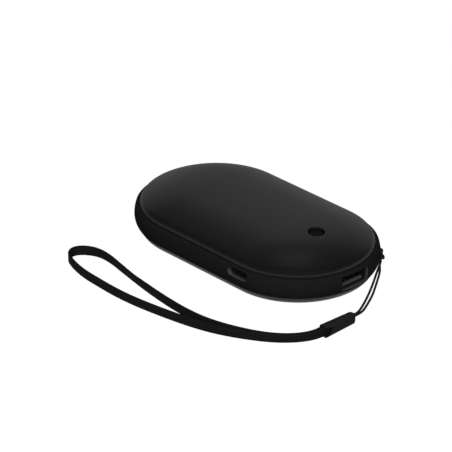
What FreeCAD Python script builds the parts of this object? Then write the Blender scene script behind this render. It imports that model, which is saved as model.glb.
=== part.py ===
import FreeCAD, Part
import math
import os
import re

import Sketcher
from FreeCAD import Rotation, Vector

# Rechargeable hand warmer, in millimetres. X runs along the body towards the power output socket,
# the charging socket faces -Y, Z is up and Z = 0 is the surface that the warmer lies on.

DIMENSIONS = {
    # housing: the plan is a stadium, measured at the joint lines of the band
    "body_length": 104.0,
    "body_width": 60.0,
    "band_height": 8.25,
    "band_bulge": 1.5,
    "frame_wall": 2.0,
    "shell_wall": 1.5,
    "band_edge_round": 0.45,
    "rim_inset": 0.6,
    "top_rise": 8.25,
    "top_shoulder_radius": 3.6,
    "top_flank_radius": 40.0,
    "crown_radius": 140.0,
    "bottom_rise": 6.6,
    "bottom_shoulder_radius": 3.2,
    "bottom_flank_radius": 32.0,
    "skirt_depth": 1.0,
    "skirt_wall": 1.1,
    "lap_clearance": 0.15,
    # circuit board and its bosses
    "board_drop": 0.7,
    "board_thickness": 1.0,
    "board_gap": 1.2,
    "board_edge_gap": 1.7,
    "boss_radius": 2.2,
    "boss_height": 5.0,
    "boss_inset": 3.8,
    "boss_side_offset": 3.0,
    "boss_side_gap": 2.7,
    "boss_end_angle": 58.0,
    "rib_thickness": 1.6,
    "rib_sink": 0.7,
    "screw_radius": 0.8,
    "screw_length": 4.0,
    "screw_head_radius": 1.5,
    "screw_head_height": 1.2,
    "screw_clearance": 0.1,
    "thread_clearance": 0.02,
    # power output socket in the end
    "output_width": 13.1,
    "output_height": 5.7,
    "output_depth": 14.0,
    "output_wall": 0.3,
    "output_corner": 0.7,
    "output_setback": 1.9,
    "output_drop": 0.6,
    "output_tab_length": 2.0,
    "output_block_depth": 4.0,
    "output_tongue_side": 1.3,
    "output_tongue_thickness": 1.5,
    "output_tongue_gap": 0.64,
    "output_tongue_recess": 0.5,
    "output_contact_width": 1.0,
    "output_contact_spread": 3.5,
    "output_contact_pitch": 1.0,
    "contact_thickness": 0.2,
    "spring_length": 5.0,
    "spring_width": 2.2,
    "spring_drop": 0.6,
    "spring_spread": 3.2,
    "spring_setback": 1.6,
    "port_clearance": 0.15,
    # charging socket in the front side
    "charge_end_distance": 29.6,
    "charge_width": 8.94,
    "charge_height": 3.16,
    "charge_depth": 7.3,
    "charge_wall": 0.3,
    "charge_setback": 1.5,
    "charge_side_gap": 0.5,
    "charge_block_depth": 1.6,
    "charge_tongue_side": 0.82,
    "charge_tongue_thickness": 0.7,
    "charge_tongue_recess": 1.0,
    "charge_contact_width": 0.4,
    "charge_contact_pitch": 1.3,
    # button and tact switch
    "button_end_distance": 19.7,
    "button_hole_radius": 3.2,
    "button_hole_round": 0.8,
    "button_gap": 0.2,
    "button_depth": 1.9,
    "button_dish": 0.35,
    "button_dish_margin": 0.6,
    "button_seat_gap": 0.45,
    "button_seat_margin": 2.0,
    "button_seat_height": 1.2,
    "button_flange_lip": 1.1,
    "button_flange_thickness": 0.8,
    "button_stop_gap": 0.1,
    "button_travel": 0.4,
    "switch_side": 6.0,
    "switch_gap": 1.1,
    "plunger_radius": 1.6,
    "plunger_gap": 0.15,
    "plunger_hold": 0.8,
    # parts on the board
    "parts_offset": 9.0,
    "chip_side": 7.0,
    "chip_height": 1.0,
    "inductor_side": 6.0,
    "inductor_height": 2.2,
    "transistor_length": 5.0,
    "transistor_width": 4.0,
    "transistor_height": 1.1,
    "transistor_pitch": 7.0,
    "capacitor_length": 3.2,
    "capacitor_width": 1.6,
    "capacitor_pitch": 3.0,
    "led_length": 1.6,
    "led_width": 0.8,
    # cell, heaters and insulation
    "battery_end_gap": 15.5,
    "battery_side_gap": 11.0,
    "battery_thickness": 12.0,
    "battery_round": 2.0,
    "protection_inset": 2.0,
    "protection_height": 4.0,
    "protection_thickness": 0.8,
    "film_thickness": 0.3,
    "film_fit": 0.1,
    "top_film_side": 21.0,
    "top_film_inset": 4.0,
    "bottom_film_reach": 6.0,
    "bottom_film_side": 22.5,
    "foam_inset": 3.0,
    "foam_side": 22.5,
    "bottom_foam_height": 2.6,
    "foam_fit": 0.05,
    "lead_radius": 0.6,
    "lead_spacing": 6.0,
    "lead_run": 4.0,
    "lead_reach": 2.0,
    "thermistor_inset": 6.0,
    "thermistor_margin": 1.5,
    "thermistor_radius": 1.2,
    "thermistor_lead_radius": 0.25,
    # lanyard
    "lanyard_angle": 41.5,
    "lanyard_window_width": 3.4,
    "lanyard_window_height": 2.0,
    "lanyard_bridge": 1.6,
    "cord_diameter": 0.9,
    "strap_width": 3.6,
    "strap_thickness": 1.0,
    "ferrule_length": 15.8,
    "ferrule_mouth_height": 5.0,
    "ferrule_mouth_width": 4.2,
    "ferrule_taper": 0.4,
    "ferrule_round": 1.4,
    "ferrule_strap_depth": 5.0,
    "ferrule_cord_depth": 2.0,
    "ferrule_notch_depth": 3.2,
    "ferrule_notch_radius": 1.8,
    "ferrule_fit": 0.15,
    "strap_pitch": 1.2,
    "cord_pitch": 1.0,
}

doc = FreeCAD.newDocument("hand_warmer")
sheet = doc.addObject("Spreadsheet::Sheet", "dims")
for row, (alias, number) in enumerate(DIMENSIONS.items(), 1):
    sheet.set(f"A{row}", alias)
    sheet.set(f"B{row}", str(number))
    sheet.setAlias(f"B{row}", alias)
doc.recompute()

ALIASES = re.compile(r"\b(" + "|".join(DIMENSIONS) + r")\b")
END_AXIS = "((body_length - body_width) / 2)"
JOINT_TOP = "(bottom_rise + band_height)"
CROWN_TOP = "(bottom_rise + band_height + top_rise)"
INNER_HALF = "(body_width / 2 - frame_wall)"
BOARD_UNDER = f"({JOINT_TOP} - board_drop)"
BOARD_TOP = f"({BOARD_UNDER} + board_thickness)"
BUTTON_X = "(body_length / 2 - button_end_distance)"
FLANGE_RADIUS = "(button_hole_radius + button_flange_lip)"
FLANGE_DROP = f"(({BUTTON_X} - {END_AXIS} + {FLANGE_RADIUS}) ^ 2 / (2 * crown_radius))"
SEAT_DEPTH = f"({FLANGE_DROP} + shell_wall + button_seat_gap)"
BUTTON_SEAT = f"({CROWN_TOP} - {SEAT_DEPTH})"
FLANGE_UNDER = f"({BUTTON_SEAT} - button_stop_gap - button_flange_thickness)"
SWITCH_TOP = f"({FLANGE_UNDER} - switch_gap)"
BATTERY_UNDER = "(shell_wall + film_thickness + bottom_foam_height)"
CHARGE_X = "(body_length / 2 - charge_end_distance)"
CHARGE_SIDE = f"({CHARGE_X} - charge_width / 2 - charge_side_gap)"
BOARD_START = f"({CHARGE_SIDE} - boss_side_gap - boss_radius - boss_side_offset)"
BATTERY_END = f"({BOARD_START} - board_gap - protection_thickness)"
BATTERY_LENGTH = f"({BATTERY_END} + body_length / 2 - battery_end_gap)"
BATTERY_WIDTH = "(body_width - 2 * battery_side_gap)"
BATTERY_X = f"({BATTERY_END} - {BATTERY_LENGTH} / 2)"
FOAM_LENGTH = f"({BATTERY_LENGTH} - 2 * foam_inset)"
FOAM_WIDTH = "(body_width - 2 * foam_side)"
TOP_FILM_LENGTH = "(body_length - body_width - 2 * top_film_inset)"
TOP_FILM_WIDTH = "(body_width - 2 * top_film_side)"
BOTTOM_FILM_LENGTH = "(body_length - body_width + 2 * bottom_film_reach)"
BOTTOM_FILM_WIDTH = "(body_width - 2 * bottom_film_side)"
OUTPUT_TOP = f"({BOARD_UNDER} - output_drop)"
OUTPUT_FRONT = f"({END_AXIS} + body_width / 2 + band_bulge - output_setback)"
CHARGE_FRONT = "(charge_setback - body_width / 2 - band_bulge)"
SOCKET_REACH = "(frame_wall + 2 * band_bulge + output_setback + charge_setback)"
# An arc takes up to this share of the shorter run beside it.
BEND_SHARE = 0.45
NEAR = 0.01

nodes = {}


def size(alias):
    return sheet.get(alias)


def bind(item, bindings):
    """Tie properties to expressions that name cells of the sheet."""
    for prop, text in bindings.items():
        item.setExpression(prop, ALIASES.sub(r"dims.\1", text))
    return item


def node(label, item):
    """Register a finished piece under the name of its file."""
    item.Label = label
    nodes[label] = item
    return item


def block(name, x, y, z, length, width, height):
    """Box centred on x and y, standing on z."""
    box = doc.addObject("Part::Box", name)
    return bind(box, {
        "Length": length,
        "Width": width,
        "Height": height,
        "Placement.Base.x": f"({x}) - ({length}) / 2",
        "Placement.Base.y": f"({y}) - ({width}) / 2",
        "Placement.Base.z": z,
    })


def rod(name, x, y, z, radius, height, turn=None):
    """Cylinder from (x, y, z) along Z, or along the direction that turn gives."""
    cylinder = doc.addObject("Part::Cylinder", name)
    if turn:
        cylinder.Placement.Rotation = turn
    return bind(cylinder, {
        "Radius": radius,
        "Height": height,
        "Placement.Base.x": x,
        "Placement.Base.y": y,
        "Placement.Base.z": z,
    })


def fuse(name, *pieces):
    joined = doc.addObject("Part::MultiFuse", name)
    joined.Shapes = list(pieces)
    return joined


def group(name, *pieces):
    """Separate solids that share one node."""
    together = doc.addObject("Part::Compound", name)
    together.Links = list(pieces)
    return together


def cut(name, base, *tools):
    result = doc.addObject("Part::Cut", name)
    result.Base = base
    result.Tool = tools[0] if len(tools) == 1 else fuse(name + "_tools", *tools)
    return result


def plane(body, role):
    return next(item for item in body.Origin.OriginFeatures if item.Role == role)


def new_sketch(body, name, role, offset="0"):
    sketch = body.newObject("Sketcher::SketchObject", name)
    sketch.AttachmentSupport = [(plane(body, role), "")]
    sketch.MapMode = "FlatFace"
    bind(sketch, {"AttachmentOffset.Base.z": offset})
    return sketch


def dimension(sketch, name, text, *constraint):
    """Add a named dimension that follows an expression."""
    index = sketch.addConstraint(Sketcher.Constraint(*constraint))
    sketch.renameConstraint(index, name)
    bind(sketch, {f"Constraints.{name}": text})


def arc(centre, radius, start, end):
    return Part.ArcOfCircle(Part.Circle(centre, Vector(0, 0, 1), radius), start, end)


def line(start, end):
    return Part.LineSegment(start, end)


def heading(vector):
    return math.atan2(vector.y, vector.x)


def shell_section(body, name, offset, kind):
    """Half section of a shell, rim at height 0: crown, flank and shoulder arcs with a lap skirt inside."""
    rise, flank, shoulder = (size(f"{kind}_{part}") for part in ("rise", "flank_radius", "shoulder_radius"))
    wall = size("shell_wall")
    half = size("body_width") / 2 - size("rim_inset")
    skirt_out = size("body_width") / 2 - size("frame_wall") - size("lap_clearance")
    skirt_in = skirt_out - size("skirt_wall")
    low = -size("skirt_depth")
    shoulder_centre = Vector(half - shoulder, 0)
    if kind == "top":
        crown = size("crown_radius")
        crown_centre = Vector(0, rise - crown)
        reach = (shoulder_centre - crown_centre).Length
        along = ((crown - flank) ** 2 - (flank - shoulder) ** 2 + reach ** 2) / (2 * reach)
        aside = math.sqrt((crown - flank) ** 2 - along ** 2)
        ray = (shoulder_centre - crown_centre) / reach
        flank_centre = crown_centre + ray * along + Vector(-ray.y, ray.x) * aside
        meet = heading(flank_centre - crown_centre)
        outer_crown = arc(crown_centre, crown, meet, math.pi / 2)
        inner_crown = arc(crown_centre, crown - wall, meet, math.pi / 2)
    else:
        level = rise - flank
        flank_centre = Vector(half - shoulder - math.sqrt((flank - shoulder) ** 2 - level ** 2), level)
        meet = math.pi / 2
        outer_crown = line(Vector(flank_centre.x, rise), Vector(0, rise))
        inner_crown = line(Vector(flank_centre.x, rise - wall), Vector(0, rise - wall))
    lean = heading(shoulder_centre - flank_centre)
    inner_end = math.acos((skirt_in - flank_centre.x) / (flank - wall))
    inner_foot = flank_centre + Vector(math.cos(inner_end), math.sin(inner_end)) * (flank - wall)

    sketch = new_sketch(body, name, "YZ_Plane", offset)
    sketch.addGeometry([
        outer_crown,
        arc(flank_centre, flank, lean, meet),
        arc(shoulder_centre, shoulder, 0, lean),
        line(Vector(half, 0), Vector(skirt_out, 0)),
        line(Vector(skirt_out, 0), Vector(skirt_out, low)),
        line(Vector(skirt_out, low), Vector(skirt_in, low)),
        line(Vector(skirt_in, low), inner_foot),
        arc(flank_centre, flank - wall, inner_end, meet),
        inner_crown,
        line(Vector(0, rise - wall), Vector(0, rise)),
    ], False)
    start, end, centre, axis, origin = 1, 2, 3, -2, (-1, 1)
    rule = Sketcher.Constraint
    sketch.addConstraint([
        rule("Tangent", 0, start, 1, end),
        rule("Tangent", 1, start, 2, end),
        rule("Coincident", 2, start, 3, start),
        rule("Coincident", 3, end, 4, start),
        rule("Coincident", 4, end, 5, start),
        rule("Coincident", 5, end, 6, start),
        rule("Coincident", 6, end, 7, start),
        rule("Tangent", 7, end, 8, start),
        rule("Coincident", 8, end, 9, start),
        rule("Coincident", 9, end, 0, end),
        rule("Horizontal", 3),
        rule("Vertical", 4),
        rule("Horizontal", 5),
        rule("Vertical", 6),
        rule("PointOnObject", 9, start, axis),
        rule("PointOnObject", 9, end, axis),
        rule("Horizontal", 2, centre, 2, start),
        rule("Coincident", 7, centre, 1, centre),
    ])
    if kind == "top":
        sketch.addConstraint([
            rule("PointOnObject", 0, centre, axis),
            rule("Coincident", 8, centre, 0, centre),
        ])
        dimension(sketch, "crown", "crown_radius", "Radius", 0, crown)
    else:
        sketch.addConstraint([rule("Horizontal", 0), rule("Horizontal", 8)])
    dimension(sketch, "half", "body_width / 2 - rim_inset", "DistanceX", *origin, 2, start, half)
    dimension(sketch, "rim", "0", "DistanceY", *origin, 2, start, 0)
    dimension(sketch, "rise", f"{kind}_rise", "DistanceY", *origin, 9, end, rise)
    dimension(sketch, "flank", f"{kind}_flank_radius", "Radius", 1, flank)
    dimension(sketch, "shoulder", f"{kind}_shoulder_radius", "Radius", 2, shoulder)
    dimension(sketch, "wall", "shell_wall", "DistanceY", 9, start, 9, end, wall)
    dimension(sketch, "skirt_out", f"{INNER_HALF} - lap_clearance", "DistanceX", *origin, 4, start, skirt_out)
    dimension(sketch, "skirt_wall", "skirt_wall", "DistanceX", 5, end, 5, start, size("skirt_wall"))
    dimension(sketch, "skirt", "skirt_depth", "DistanceY", 4, end, 4, start, -low)
    return sketch


def band_section(body, name, offset, kind):
    """Half section of the middle band: straight inside, barrel-shaped outside."""
    half = size("body_width") / 2
    inner = half - size("frame_wall")
    low = size("bottom_rise")
    tall = size("band_height")
    bulge = size("band_bulge")
    radius = (tall ** 2 / 4 + bulge ** 2) / (2 * bulge)
    middle = Vector(half + bulge - radius, low + tall / 2)
    swing = math.asin(tall / 2 / radius)
    sketch = new_sketch(body, name, "YZ_Plane", offset)
    sketch.addGeometry([
        arc(middle, radius, -swing, swing),
        line(Vector(half, low + tall), Vector(inner, low + tall)),
        line(Vector(inner, low + tall), Vector(inner, low)),
        line(Vector(inner, low), Vector(half, low)),
    ], False)
    start, end, origin = 1, 2, (-1, 1)
    rule = Sketcher.Constraint
    sketch.addConstraint([
        rule("Coincident", 0, end, 1, start),
        rule("Coincident", 1, end, 2, start),
        rule("Coincident", 2, end, 3, start),
        rule("Coincident", 3, end, 0, start),
        rule("Horizontal", 1),
        rule("Vertical", 2),
        rule("Horizontal", 3),
        rule("Vertical", 0, start, 0, end),
    ])
    dimension(sketch, "half", "body_width / 2", "DistanceX", *origin, 0, start, half)
    dimension(sketch, "low", "bottom_rise", "DistanceY", *origin, 0, start, low)
    dimension(sketch, "tall", "band_height", "DistanceY", 2, end, 2, start, tall)
    dimension(sketch, "wall", "frame_wall", "DistanceX", 1, end, 1, start, half - inner)
    barrel = "(band_height ^ 2 / 4 + band_bulge ^ 2) / (2 * band_bulge)"
    dimension(sketch, "barrel", barrel, "Radius", 0, radius)
    return sketch


def racetrack(name, section, kind):
    """Body whose half section runs round the stadium: two straight sides and two half-round ends."""
    body = doc.addObject("PartDesign::Body", name)
    side_sketch = section(body, name + "_side_section", "0", kind)
    sides = body.newObject("PartDesign::Pad", name + "_sides")
    sides.Profile = side_sketch
    sides.SideType = "Symmetric"
    bind(sides, {"Length": "body_length - body_width"})
    end_sketch = section(body, name + "_end_section", END_AXIS, kind)
    ends = body.newObject("PartDesign::Revolution", name + "_ends")
    ends.Profile = end_sketch
    ends.ReferenceAxis = (end_sketch, ["V_Axis"])
    ends.Angle = 90
    ends.Reversed = True
    whole = body.newObject("PartDesign::MultiTransform", name + "_whole")
    mirrors = []
    for role in ("XZ_Plane", "YZ_Plane"):
        mirror = body.newObject("PartDesign::Mirrored", f"{name}_mirror_{role[:2]}")
        mirror.MirrorPlane = (plane(body, role), [""])
        mirrors.append(mirror)
    whole.Originals = [sides, ends]
    whole.Transformations = mirrors
    body.Tip = whole
    doc.recompute()
    return body


def circle_sketch(body, name, level, x, radius):
    """Circle on the body's XZ plane of symmetry, lying at a level."""
    sketch = new_sketch(body, name, "XY_Plane", level)
    sketch.addGeometry(Part.Circle(Vector(1, 0), Vector(0, 0, 1), 1), False)
    sketch.addConstraint(Sketcher.Constraint("PointOnObject", 0, 3, -1))
    dimension(sketch, "x", x, "DistanceX", -1, 1, 0, 3, 1)
    dimension(sketch, "radius", radius, "Radius", 0, 1)
    return sketch


def make_top_shell():
    """Dome with a flat-faced seat inside for the button's flange and a rounded hole for its cap."""
    body = racetrack("top_shell", shell_section, "top")
    level = f"top_rise - {SEAT_DEPTH}"
    seat = body.newObject("PartDesign::Pad", "button_seat")
    seat.Profile = circle_sketch(body, "button_seat_circle", level, BUTTON_X,
                                 "button_hole_radius + button_seat_margin")
    bind(seat, {"Length": "button_seat_height"})
    hole = body.newObject("PartDesign::Pocket", "button_hole")
    hole.Profile = circle_sketch(body, "button_hole_circle", level, BUTTON_X, "button_hole_radius")
    hole.Type = "ThroughAll"
    hole.Reversed = True
    doc.recompute()
    if hole.Shape.Volume >= seat.Shape.Volume:
        raise RuntimeError("the button hole cuts nothing")
    seat_level = hole.Profile[0].Placement.Base.z
    rims = [number for number, edge in enumerate(hole.Shape.Edges, 1) if on_button_rim(edge, seat_level)]
    rounding = body.newObject("PartDesign::Fillet", "button_hole_edge")
    rounding.Base = (hole, [f"Edge{number}" for number in rims])
    bind(rounding, {"Radius": "button_hole_round"})
    body.Tip = rounding
    bind(body, {"Placement.Base.z": JOINT_TOP})
    node("top_shell", cut("top_cover", body, *skirt_reliefs("top", f"{JOINT_TOP} - skirt_depth")))


def on_button_rim(edge, seat_level):
    """True for the edges where the button's hole meets the outside of the dome."""
    middle_x = size("body_length") / 2 - size("button_end_distance")
    upright = edge.BoundBox.ZLength > size("shell_wall") / 2
    for vertex in edge.Vertexes:
        off_hole = abs(math.hypot(vertex.X - middle_x, vertex.Y) - size("button_hole_radius"))
        if upright or vertex.Z < seat_level + NEAR or off_hole > NEAR:
            return False
    return True


def skirt_reliefs(name, low):
    """Blocks that notch a shell's skirt where the two sockets pass it."""
    reach = "2 * (frame_wall + skirt_wall + lap_clearance)"
    return [
        block(f"{name}_output_relief", f"{END_AXIS} + {INNER_HALF}", "0", low, reach,
              "output_width + 2 * port_clearance", "skirt_depth"),
        block(f"{name}_charge_relief", CHARGE_X, f"-{INNER_HALF}", low, "charge_width + 2 * charge_side_gap",
              reach, "skirt_depth"),
    ]


def make_bottom_shell():
    """The lower shell is drawn dome up and turned over, so that its flat rests on Z = 0."""
    dish = racetrack("bottom_dish", shell_section, "bottom")
    dish.Placement.Rotation = Rotation(Vector(1, 0, 0), 180)
    bind(dish, {"Placement.Base.z": "bottom_rise"})
    node("bottom_shell", cut("bottom_cover", dish, *skirt_reliefs("bottom", "bottom_rise")))


def boss_places():
    """Centre of the turn and angle for each board boss: two on the straight sides, two on the end."""
    for sign in (-1, 1):
        yield f"({BOARD_START} + boss_side_offset)", f"{sign * 90}"
        yield END_AXIS, f"{sign} * boss_end_angle"


def boss_point(turn_x, angle):
    reach = f"({INNER_HALF} - boss_inset)"
    return f"{turn_x} + {reach} * cos({angle} * 1 deg)", f"{reach} * sin({angle} * 1 deg)"


def make_boss(number, turn_x, angle):
    """Screw boss with the rib that ties it to the band's wall."""
    x, y = boss_point(turn_x, angle)
    low = f"{BOARD_UNDER} - boss_height"
    post = rod(f"boss_{number}", x, y, low, "boss_radius", "boss_height")
    rib = doc.addObject("Part::Box", f"boss_rib_{number}")
    rib.Placement.Rotation = Rotation(Vector(0, 0, 1), 0)
    bind(rib, {
        "Length": "boss_inset + rib_sink",
        "Width": "rib_thickness",
        "Height": "boss_height - skirt_depth",
        "Placement.Base.x": f"{x} + rib_thickness / 2 * sin({angle} * 1 deg)",
        "Placement.Base.y": f"{y} - rib_thickness / 2 * cos({angle} * 1 deg)",
        "Placement.Base.z": low,
        "Placement.Rotation.Angle": f"{angle} * 1 deg",
    })
    return fuse(f"boss_with_rib_{number}", post, rib)


def lanyard_window(name, z):
    """Opening through the band beside the bridge that the lanyard is hitched round."""
    window = doc.addObject("Part::Box", name)
    turn = "lanyard_angle * 1 deg"
    start = f"({INNER_HALF} - frame_wall)"
    window.Placement.Rotation = Rotation(Vector(0, 0, 1), 0)
    return bind(window, {
        "Length": "3 * frame_wall + 2 * band_bulge",
        "Width": "lanyard_window_width",
        "Height": "lanyard_window_height",
        "Placement.Base.x": f"{END_AXIS} + {start} * cos({turn}) + lanyard_window_width / 2 * sin({turn})",
        "Placement.Base.y": f"{start} * sin({turn}) - lanyard_window_width / 2 * cos({turn})",
        "Placement.Base.z": z,
        "Placement.Rotation.Angle": turn,
    })


def charge_prism(name, margin_wide, margin_tall, front, depth):
    """Round-ended bar along Y in the shape of the charging socket, widened by the margins."""
    tall = f"(charge_height + 2 * ({margin_tall}))"
    flat = f"(charge_width + 2 * ({margin_wide}) - {tall})"
    level = f"({BOARD_UNDER} - charge_height / 2)"
    back = f"{front} + {depth}"
    turn = Rotation(Vector(1, 0, 0), 90)
    low = f"{level} - {tall} / 2"
    radius = f"{tall} / 2"
    core = block(name + "_core", CHARGE_X, f"{front} + {depth} / 2", low, flat, depth, tall)
    left = rod(name + "_left", f"{CHARGE_X} - {flat} / 2", back, level, radius, depth, turn)
    right = rod(name + "_right", f"{CHARGE_X} + {flat} / 2", back, level, radius, depth, turn)
    return fuse(name, core, left, right)


def on_band_rim(edge):
    """True for the two outer edges of the band, where it meets the shells."""
    half_straight = (size("body_length") - size("body_width")) / 2
    for vertex in edge.Vertexes:
        out = math.hypot(max(abs(vertex.X) - half_straight, 0), vertex.Y)
        if abs(out - size("body_width") / 2) > NEAR:
            return False
    return edge.BoundBox.ZLength < NEAR


def make_middle_frame():
    """Band with rounded edges and board bosses, cut out for both sockets and for the lanyard."""
    band = racetrack("band", band_section, "band")
    ring = band.Tip
    rims = [number for number, edge in enumerate(ring.Shape.Edges, 1) if on_band_rim(edge)]
    rounding = band.newObject("PartDesign::Fillet", "band_edges")
    rounding.Base = (ring, [f"Edge{number}" for number in rims])
    bind(rounding, {"Radius": "band_edge_round"})
    band.Tip = rounding
    bosses = [make_boss(number, *place) for number, place in enumerate(boss_places(), 1)]
    pilots = []
    for number, place in enumerate(boss_places(), 1):
        x, y = boss_point(*place)
        foot = f"{BOARD_UNDER} - screw_length"
        pilots.append(rod(f"pilot_{number}", x, y, foot, "screw_radius + thread_clearance", "screw_length"))
    output_low = f"{OUTPUT_TOP} - output_height - port_clearance"
    output_gap = block("output_gap", OUTPUT_FRONT, "0", output_low, SOCKET_REACH,
                       "output_width + 2 * port_clearance", "output_height + 2 * port_clearance")
    charge_gap = charge_prism("charge_gap", "charge_side_gap", "port_clearance",
                              f"({CHARGE_FRONT} - 2 * charge_setback)", SOCKET_REACH)
    middle = "(bottom_rise + band_height / 2)"
    lower = lanyard_window("lanyard_window_low", f"{middle} - lanyard_bridge / 2 - lanyard_window_height")
    upper = lanyard_window("lanyard_window_high", f"{middle} + lanyard_bridge / 2")
    carrier = fuse("band_with_bosses", band, *bosses)
    node("middle_frame", cut("frame", carrier, *pilots, output_gap, charge_gap, lower, upper))


def make_button():
    """Cap with a retaining flange below and a shallow finger dish on top."""
    top = f"({CROWN_TOP} - button_depth)"
    cap_radius = "(button_hole_radius - button_gap)"
    flange = rod("button_flange", BUTTON_X, "0", FLANGE_UNDER, FLANGE_RADIUS,
                 "button_flange_thickness")
    cap = rod("button_cap", BUTTON_X, "0", FLANGE_UNDER, cap_radius, f"{top} - {FLANGE_UNDER}")
    ball = doc.addObject("Part::Sphere", "button_dish_ball")
    rim = f"({cap_radius} - button_dish_margin)"
    radius = f"(({rim} ^ 2 + button_dish ^ 2) / (2 * button_dish))"
    bind(ball, {
        "Radius": radius,
        "Placement.Base.x": BUTTON_X,
        "Placement.Base.z": f"{top} - button_dish + {radius}",
    })
    node("power_button", cut("button", fuse("button_blank", flange, cap), ball))


def make_switch():
    """Tact switch on the board: body with a well, and the plunger that the button rests on."""
    well_depth = "(plunger_hold + button_travel + 2 * plunger_gap)"
    body = block("switch_case", BUTTON_X, "0", BOARD_TOP, "switch_side", "switch_side",
                 f"{SWITCH_TOP} - {BOARD_TOP}")
    well = rod("switch_well", BUTTON_X, "0", f"{SWITCH_TOP} - {well_depth}", "plunger_radius + plunger_gap",
               well_depth)
    node("switch_body", cut("switch", body, well))
    plunger = rod("plunger", BUTTON_X, "0", f"{SWITCH_TOP} - plunger_hold", "plunger_radius",
                  "switch_gap + plunger_hold")
    node("switch_plunger", plunger)


def make_board():
    """Board with one half-round end that follows the inside of the band."""
    radius = f"({INNER_HALF} - board_edge_gap)"
    disc = rod("board_end", END_AXIS, "0", BOARD_UNDER, radius, "board_thickness")
    length = f"({END_AXIS} - {BOARD_START})"
    strip = block("board_strip", f"{BOARD_START} + {length} / 2", "0", BOARD_UNDER, length, f"2 * {radius}",
                  "board_thickness")
    keep = block("board_keep", f"{BOARD_START} + body_width / 2", "0", BOARD_UNDER, "body_width",
                 "body_width", "board_thickness")
    trimmed = doc.addObject("Part::Common", "board_trimmed")
    trimmed.Base = fuse("board_outline", disc, strip)
    trimmed.Tool = keep
    holes = []
    screws = []
    for number, place in enumerate(boss_places(), 1):
        x, y = boss_point(*place)
        holes.append(rod(f"board_hole_{number}", x, y, BOARD_UNDER, "screw_radius + screw_clearance",
                         "board_thickness"))
        foot = f"{BOARD_UNDER} - screw_length + 2 * screw_clearance"
        shank = rod(f"screw_shank_{number}", x, y, foot, "screw_radius", f"{BOARD_TOP} - ({foot})")
        head = rod(f"screw_head_{number}", x, y, BOARD_TOP, "screw_head_radius", "screw_head_height")
        screws.append(fuse(f"board_screw_{number}", shank, head))
    node("main_board", cut("board", trimmed, *holes))
    node("board_screws", group("screws", *screws))


def rectangle(body, name, role, offset, wide, tall):
    """Rectangle sketch centred on the origin of its plane."""
    sketch = new_sketch(body, name, role, offset)
    corners = [Vector(x, y) for x, y in ((-1, -1), (1, -1), (1, 1), (-1, 1))]
    sketch.addGeometry([line(corners[i], corners[(i + 1) % 4]) for i in range(4)], False)
    rule = Sketcher.Constraint
    sketch.addConstraint([rule("Coincident", i, 2, (i + 1) % 4, 1) for i in range(4)])
    sketch.addConstraint([rule(way, i) for i, way in enumerate(("Horizontal", "Vertical") * 2)])
    sketch.addConstraint(rule("Symmetric", 0, 1, 2, 1, -1, 1))
    dimension(sketch, "wide", wide, "DistanceX", 0, 1, 0, 2, 2)
    dimension(sketch, "tall", tall, "DistanceY", 1, 1, 1, 2, 2)
    return sketch


def output_bar(name, wall, start, length):
    """Bar along X with rounded edges: the output socket's outline, drawn in by a wall."""
    body = doc.addObject("PartDesign::Body", name)
    outline = rectangle(body, name + "_outline", "YZ_Plane", "0", f"output_width - 2 * {wall}",
                        f"output_height - 2 * {wall}")
    bar = body.newObject("PartDesign::Pad", name + "_bar")
    bar.Profile = outline
    bind(bar, {"Length": length})
    doc.recompute()
    long_edges = [number for number, edge in enumerate(bar.Shape.Edges, 1) if edge.BoundBox.XLength > NEAR]
    corners = body.newObject("PartDesign::Fillet", name + "_corners")
    corners.Base = (bar, [f"Edge{number}" for number in long_edges])
    bind(corners, {"Radius": f"output_corner - {wall}"})
    body.Tip = corners
    return bind(body, {"Placement.Base.x": start, "Placement.Base.z": f"{OUTPUT_TOP} - output_height / 2"})


def make_output_socket():
    """Power output socket on two tabs under the board, tongue low in the opening, contacts on top of it."""
    low = f"({OUTPUT_TOP} - output_height)"
    back = f"({OUTPUT_FRONT} - output_depth)"
    outer = output_bar("output_outer", "0", back, "output_depth")
    hollow = output_bar("output_hollow", "output_wall", back, "output_depth")
    springs = []
    tabs = []
    for side in (-1, 1):
        spring = doc.addObject("Part::Box", f"output_spring_{side + 2}")
        spring.Placement.Rotation = Rotation(Vector(0, 1, 0), 0)
        springs.append(bind(spring, {
            "Length": "spring_length",
            "Width": "spring_width",
            "Height": "output_wall",
            "Placement.Base.x": f"{OUTPUT_FRONT} - spring_setback - spring_length",
            "Placement.Base.y": f"{side} * spring_spread - spring_width / 2",
            "Placement.Base.z": f"{OUTPUT_TOP} - output_wall - spring_drop",
            "Placement.Rotation.Angle": "-asin(spring_drop / spring_length)",
        }))
        tabs.append(block(f"output_tab_{side + 2}", f"{back} + output_depth / 2",
                          f"{side} * (output_width - output_wall) / 2", f"{OUTPUT_TOP} - 2 * output_corner",
                          "output_tab_length", "output_wall", "output_drop + 2 * output_corner"))
    can = fuse("output_sprung", cut("output_can", outer, hollow), *springs, *tabs)
    node("output_socket_shell", can)
    filler = output_bar("output_block", "output_wall", back, "output_block_depth")
    reach = "(output_depth - output_block_depth - output_tongue_recess)"
    tongue_x = f"({back} + output_block_depth + {reach} / 2)"
    tongue_low = f"({low} + output_wall + output_tongue_gap)"
    tongue = block("output_tongue", tongue_x, "0", tongue_low, reach,
                   "output_width - 2 * output_wall - 2 * output_tongue_side", "output_tongue_thickness")
    node("output_socket_tongue", fuse("output_insert", filler, tongue))
    tongue_top = f"{tongue_low} + output_tongue_thickness"
    strips = []
    for number, y in enumerate(("-output_contact_spread", "-output_contact_pitch", "output_contact_pitch",
                                "output_contact_spread"), 1):
        strips.append(block(f"output_contact_{number}", tongue_x, y, tongue_top,
                            f"{reach} - output_tongue_recess", "output_contact_width", "contact_thickness"))
    node("output_socket_contacts", group("output_contacts", *strips))


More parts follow.
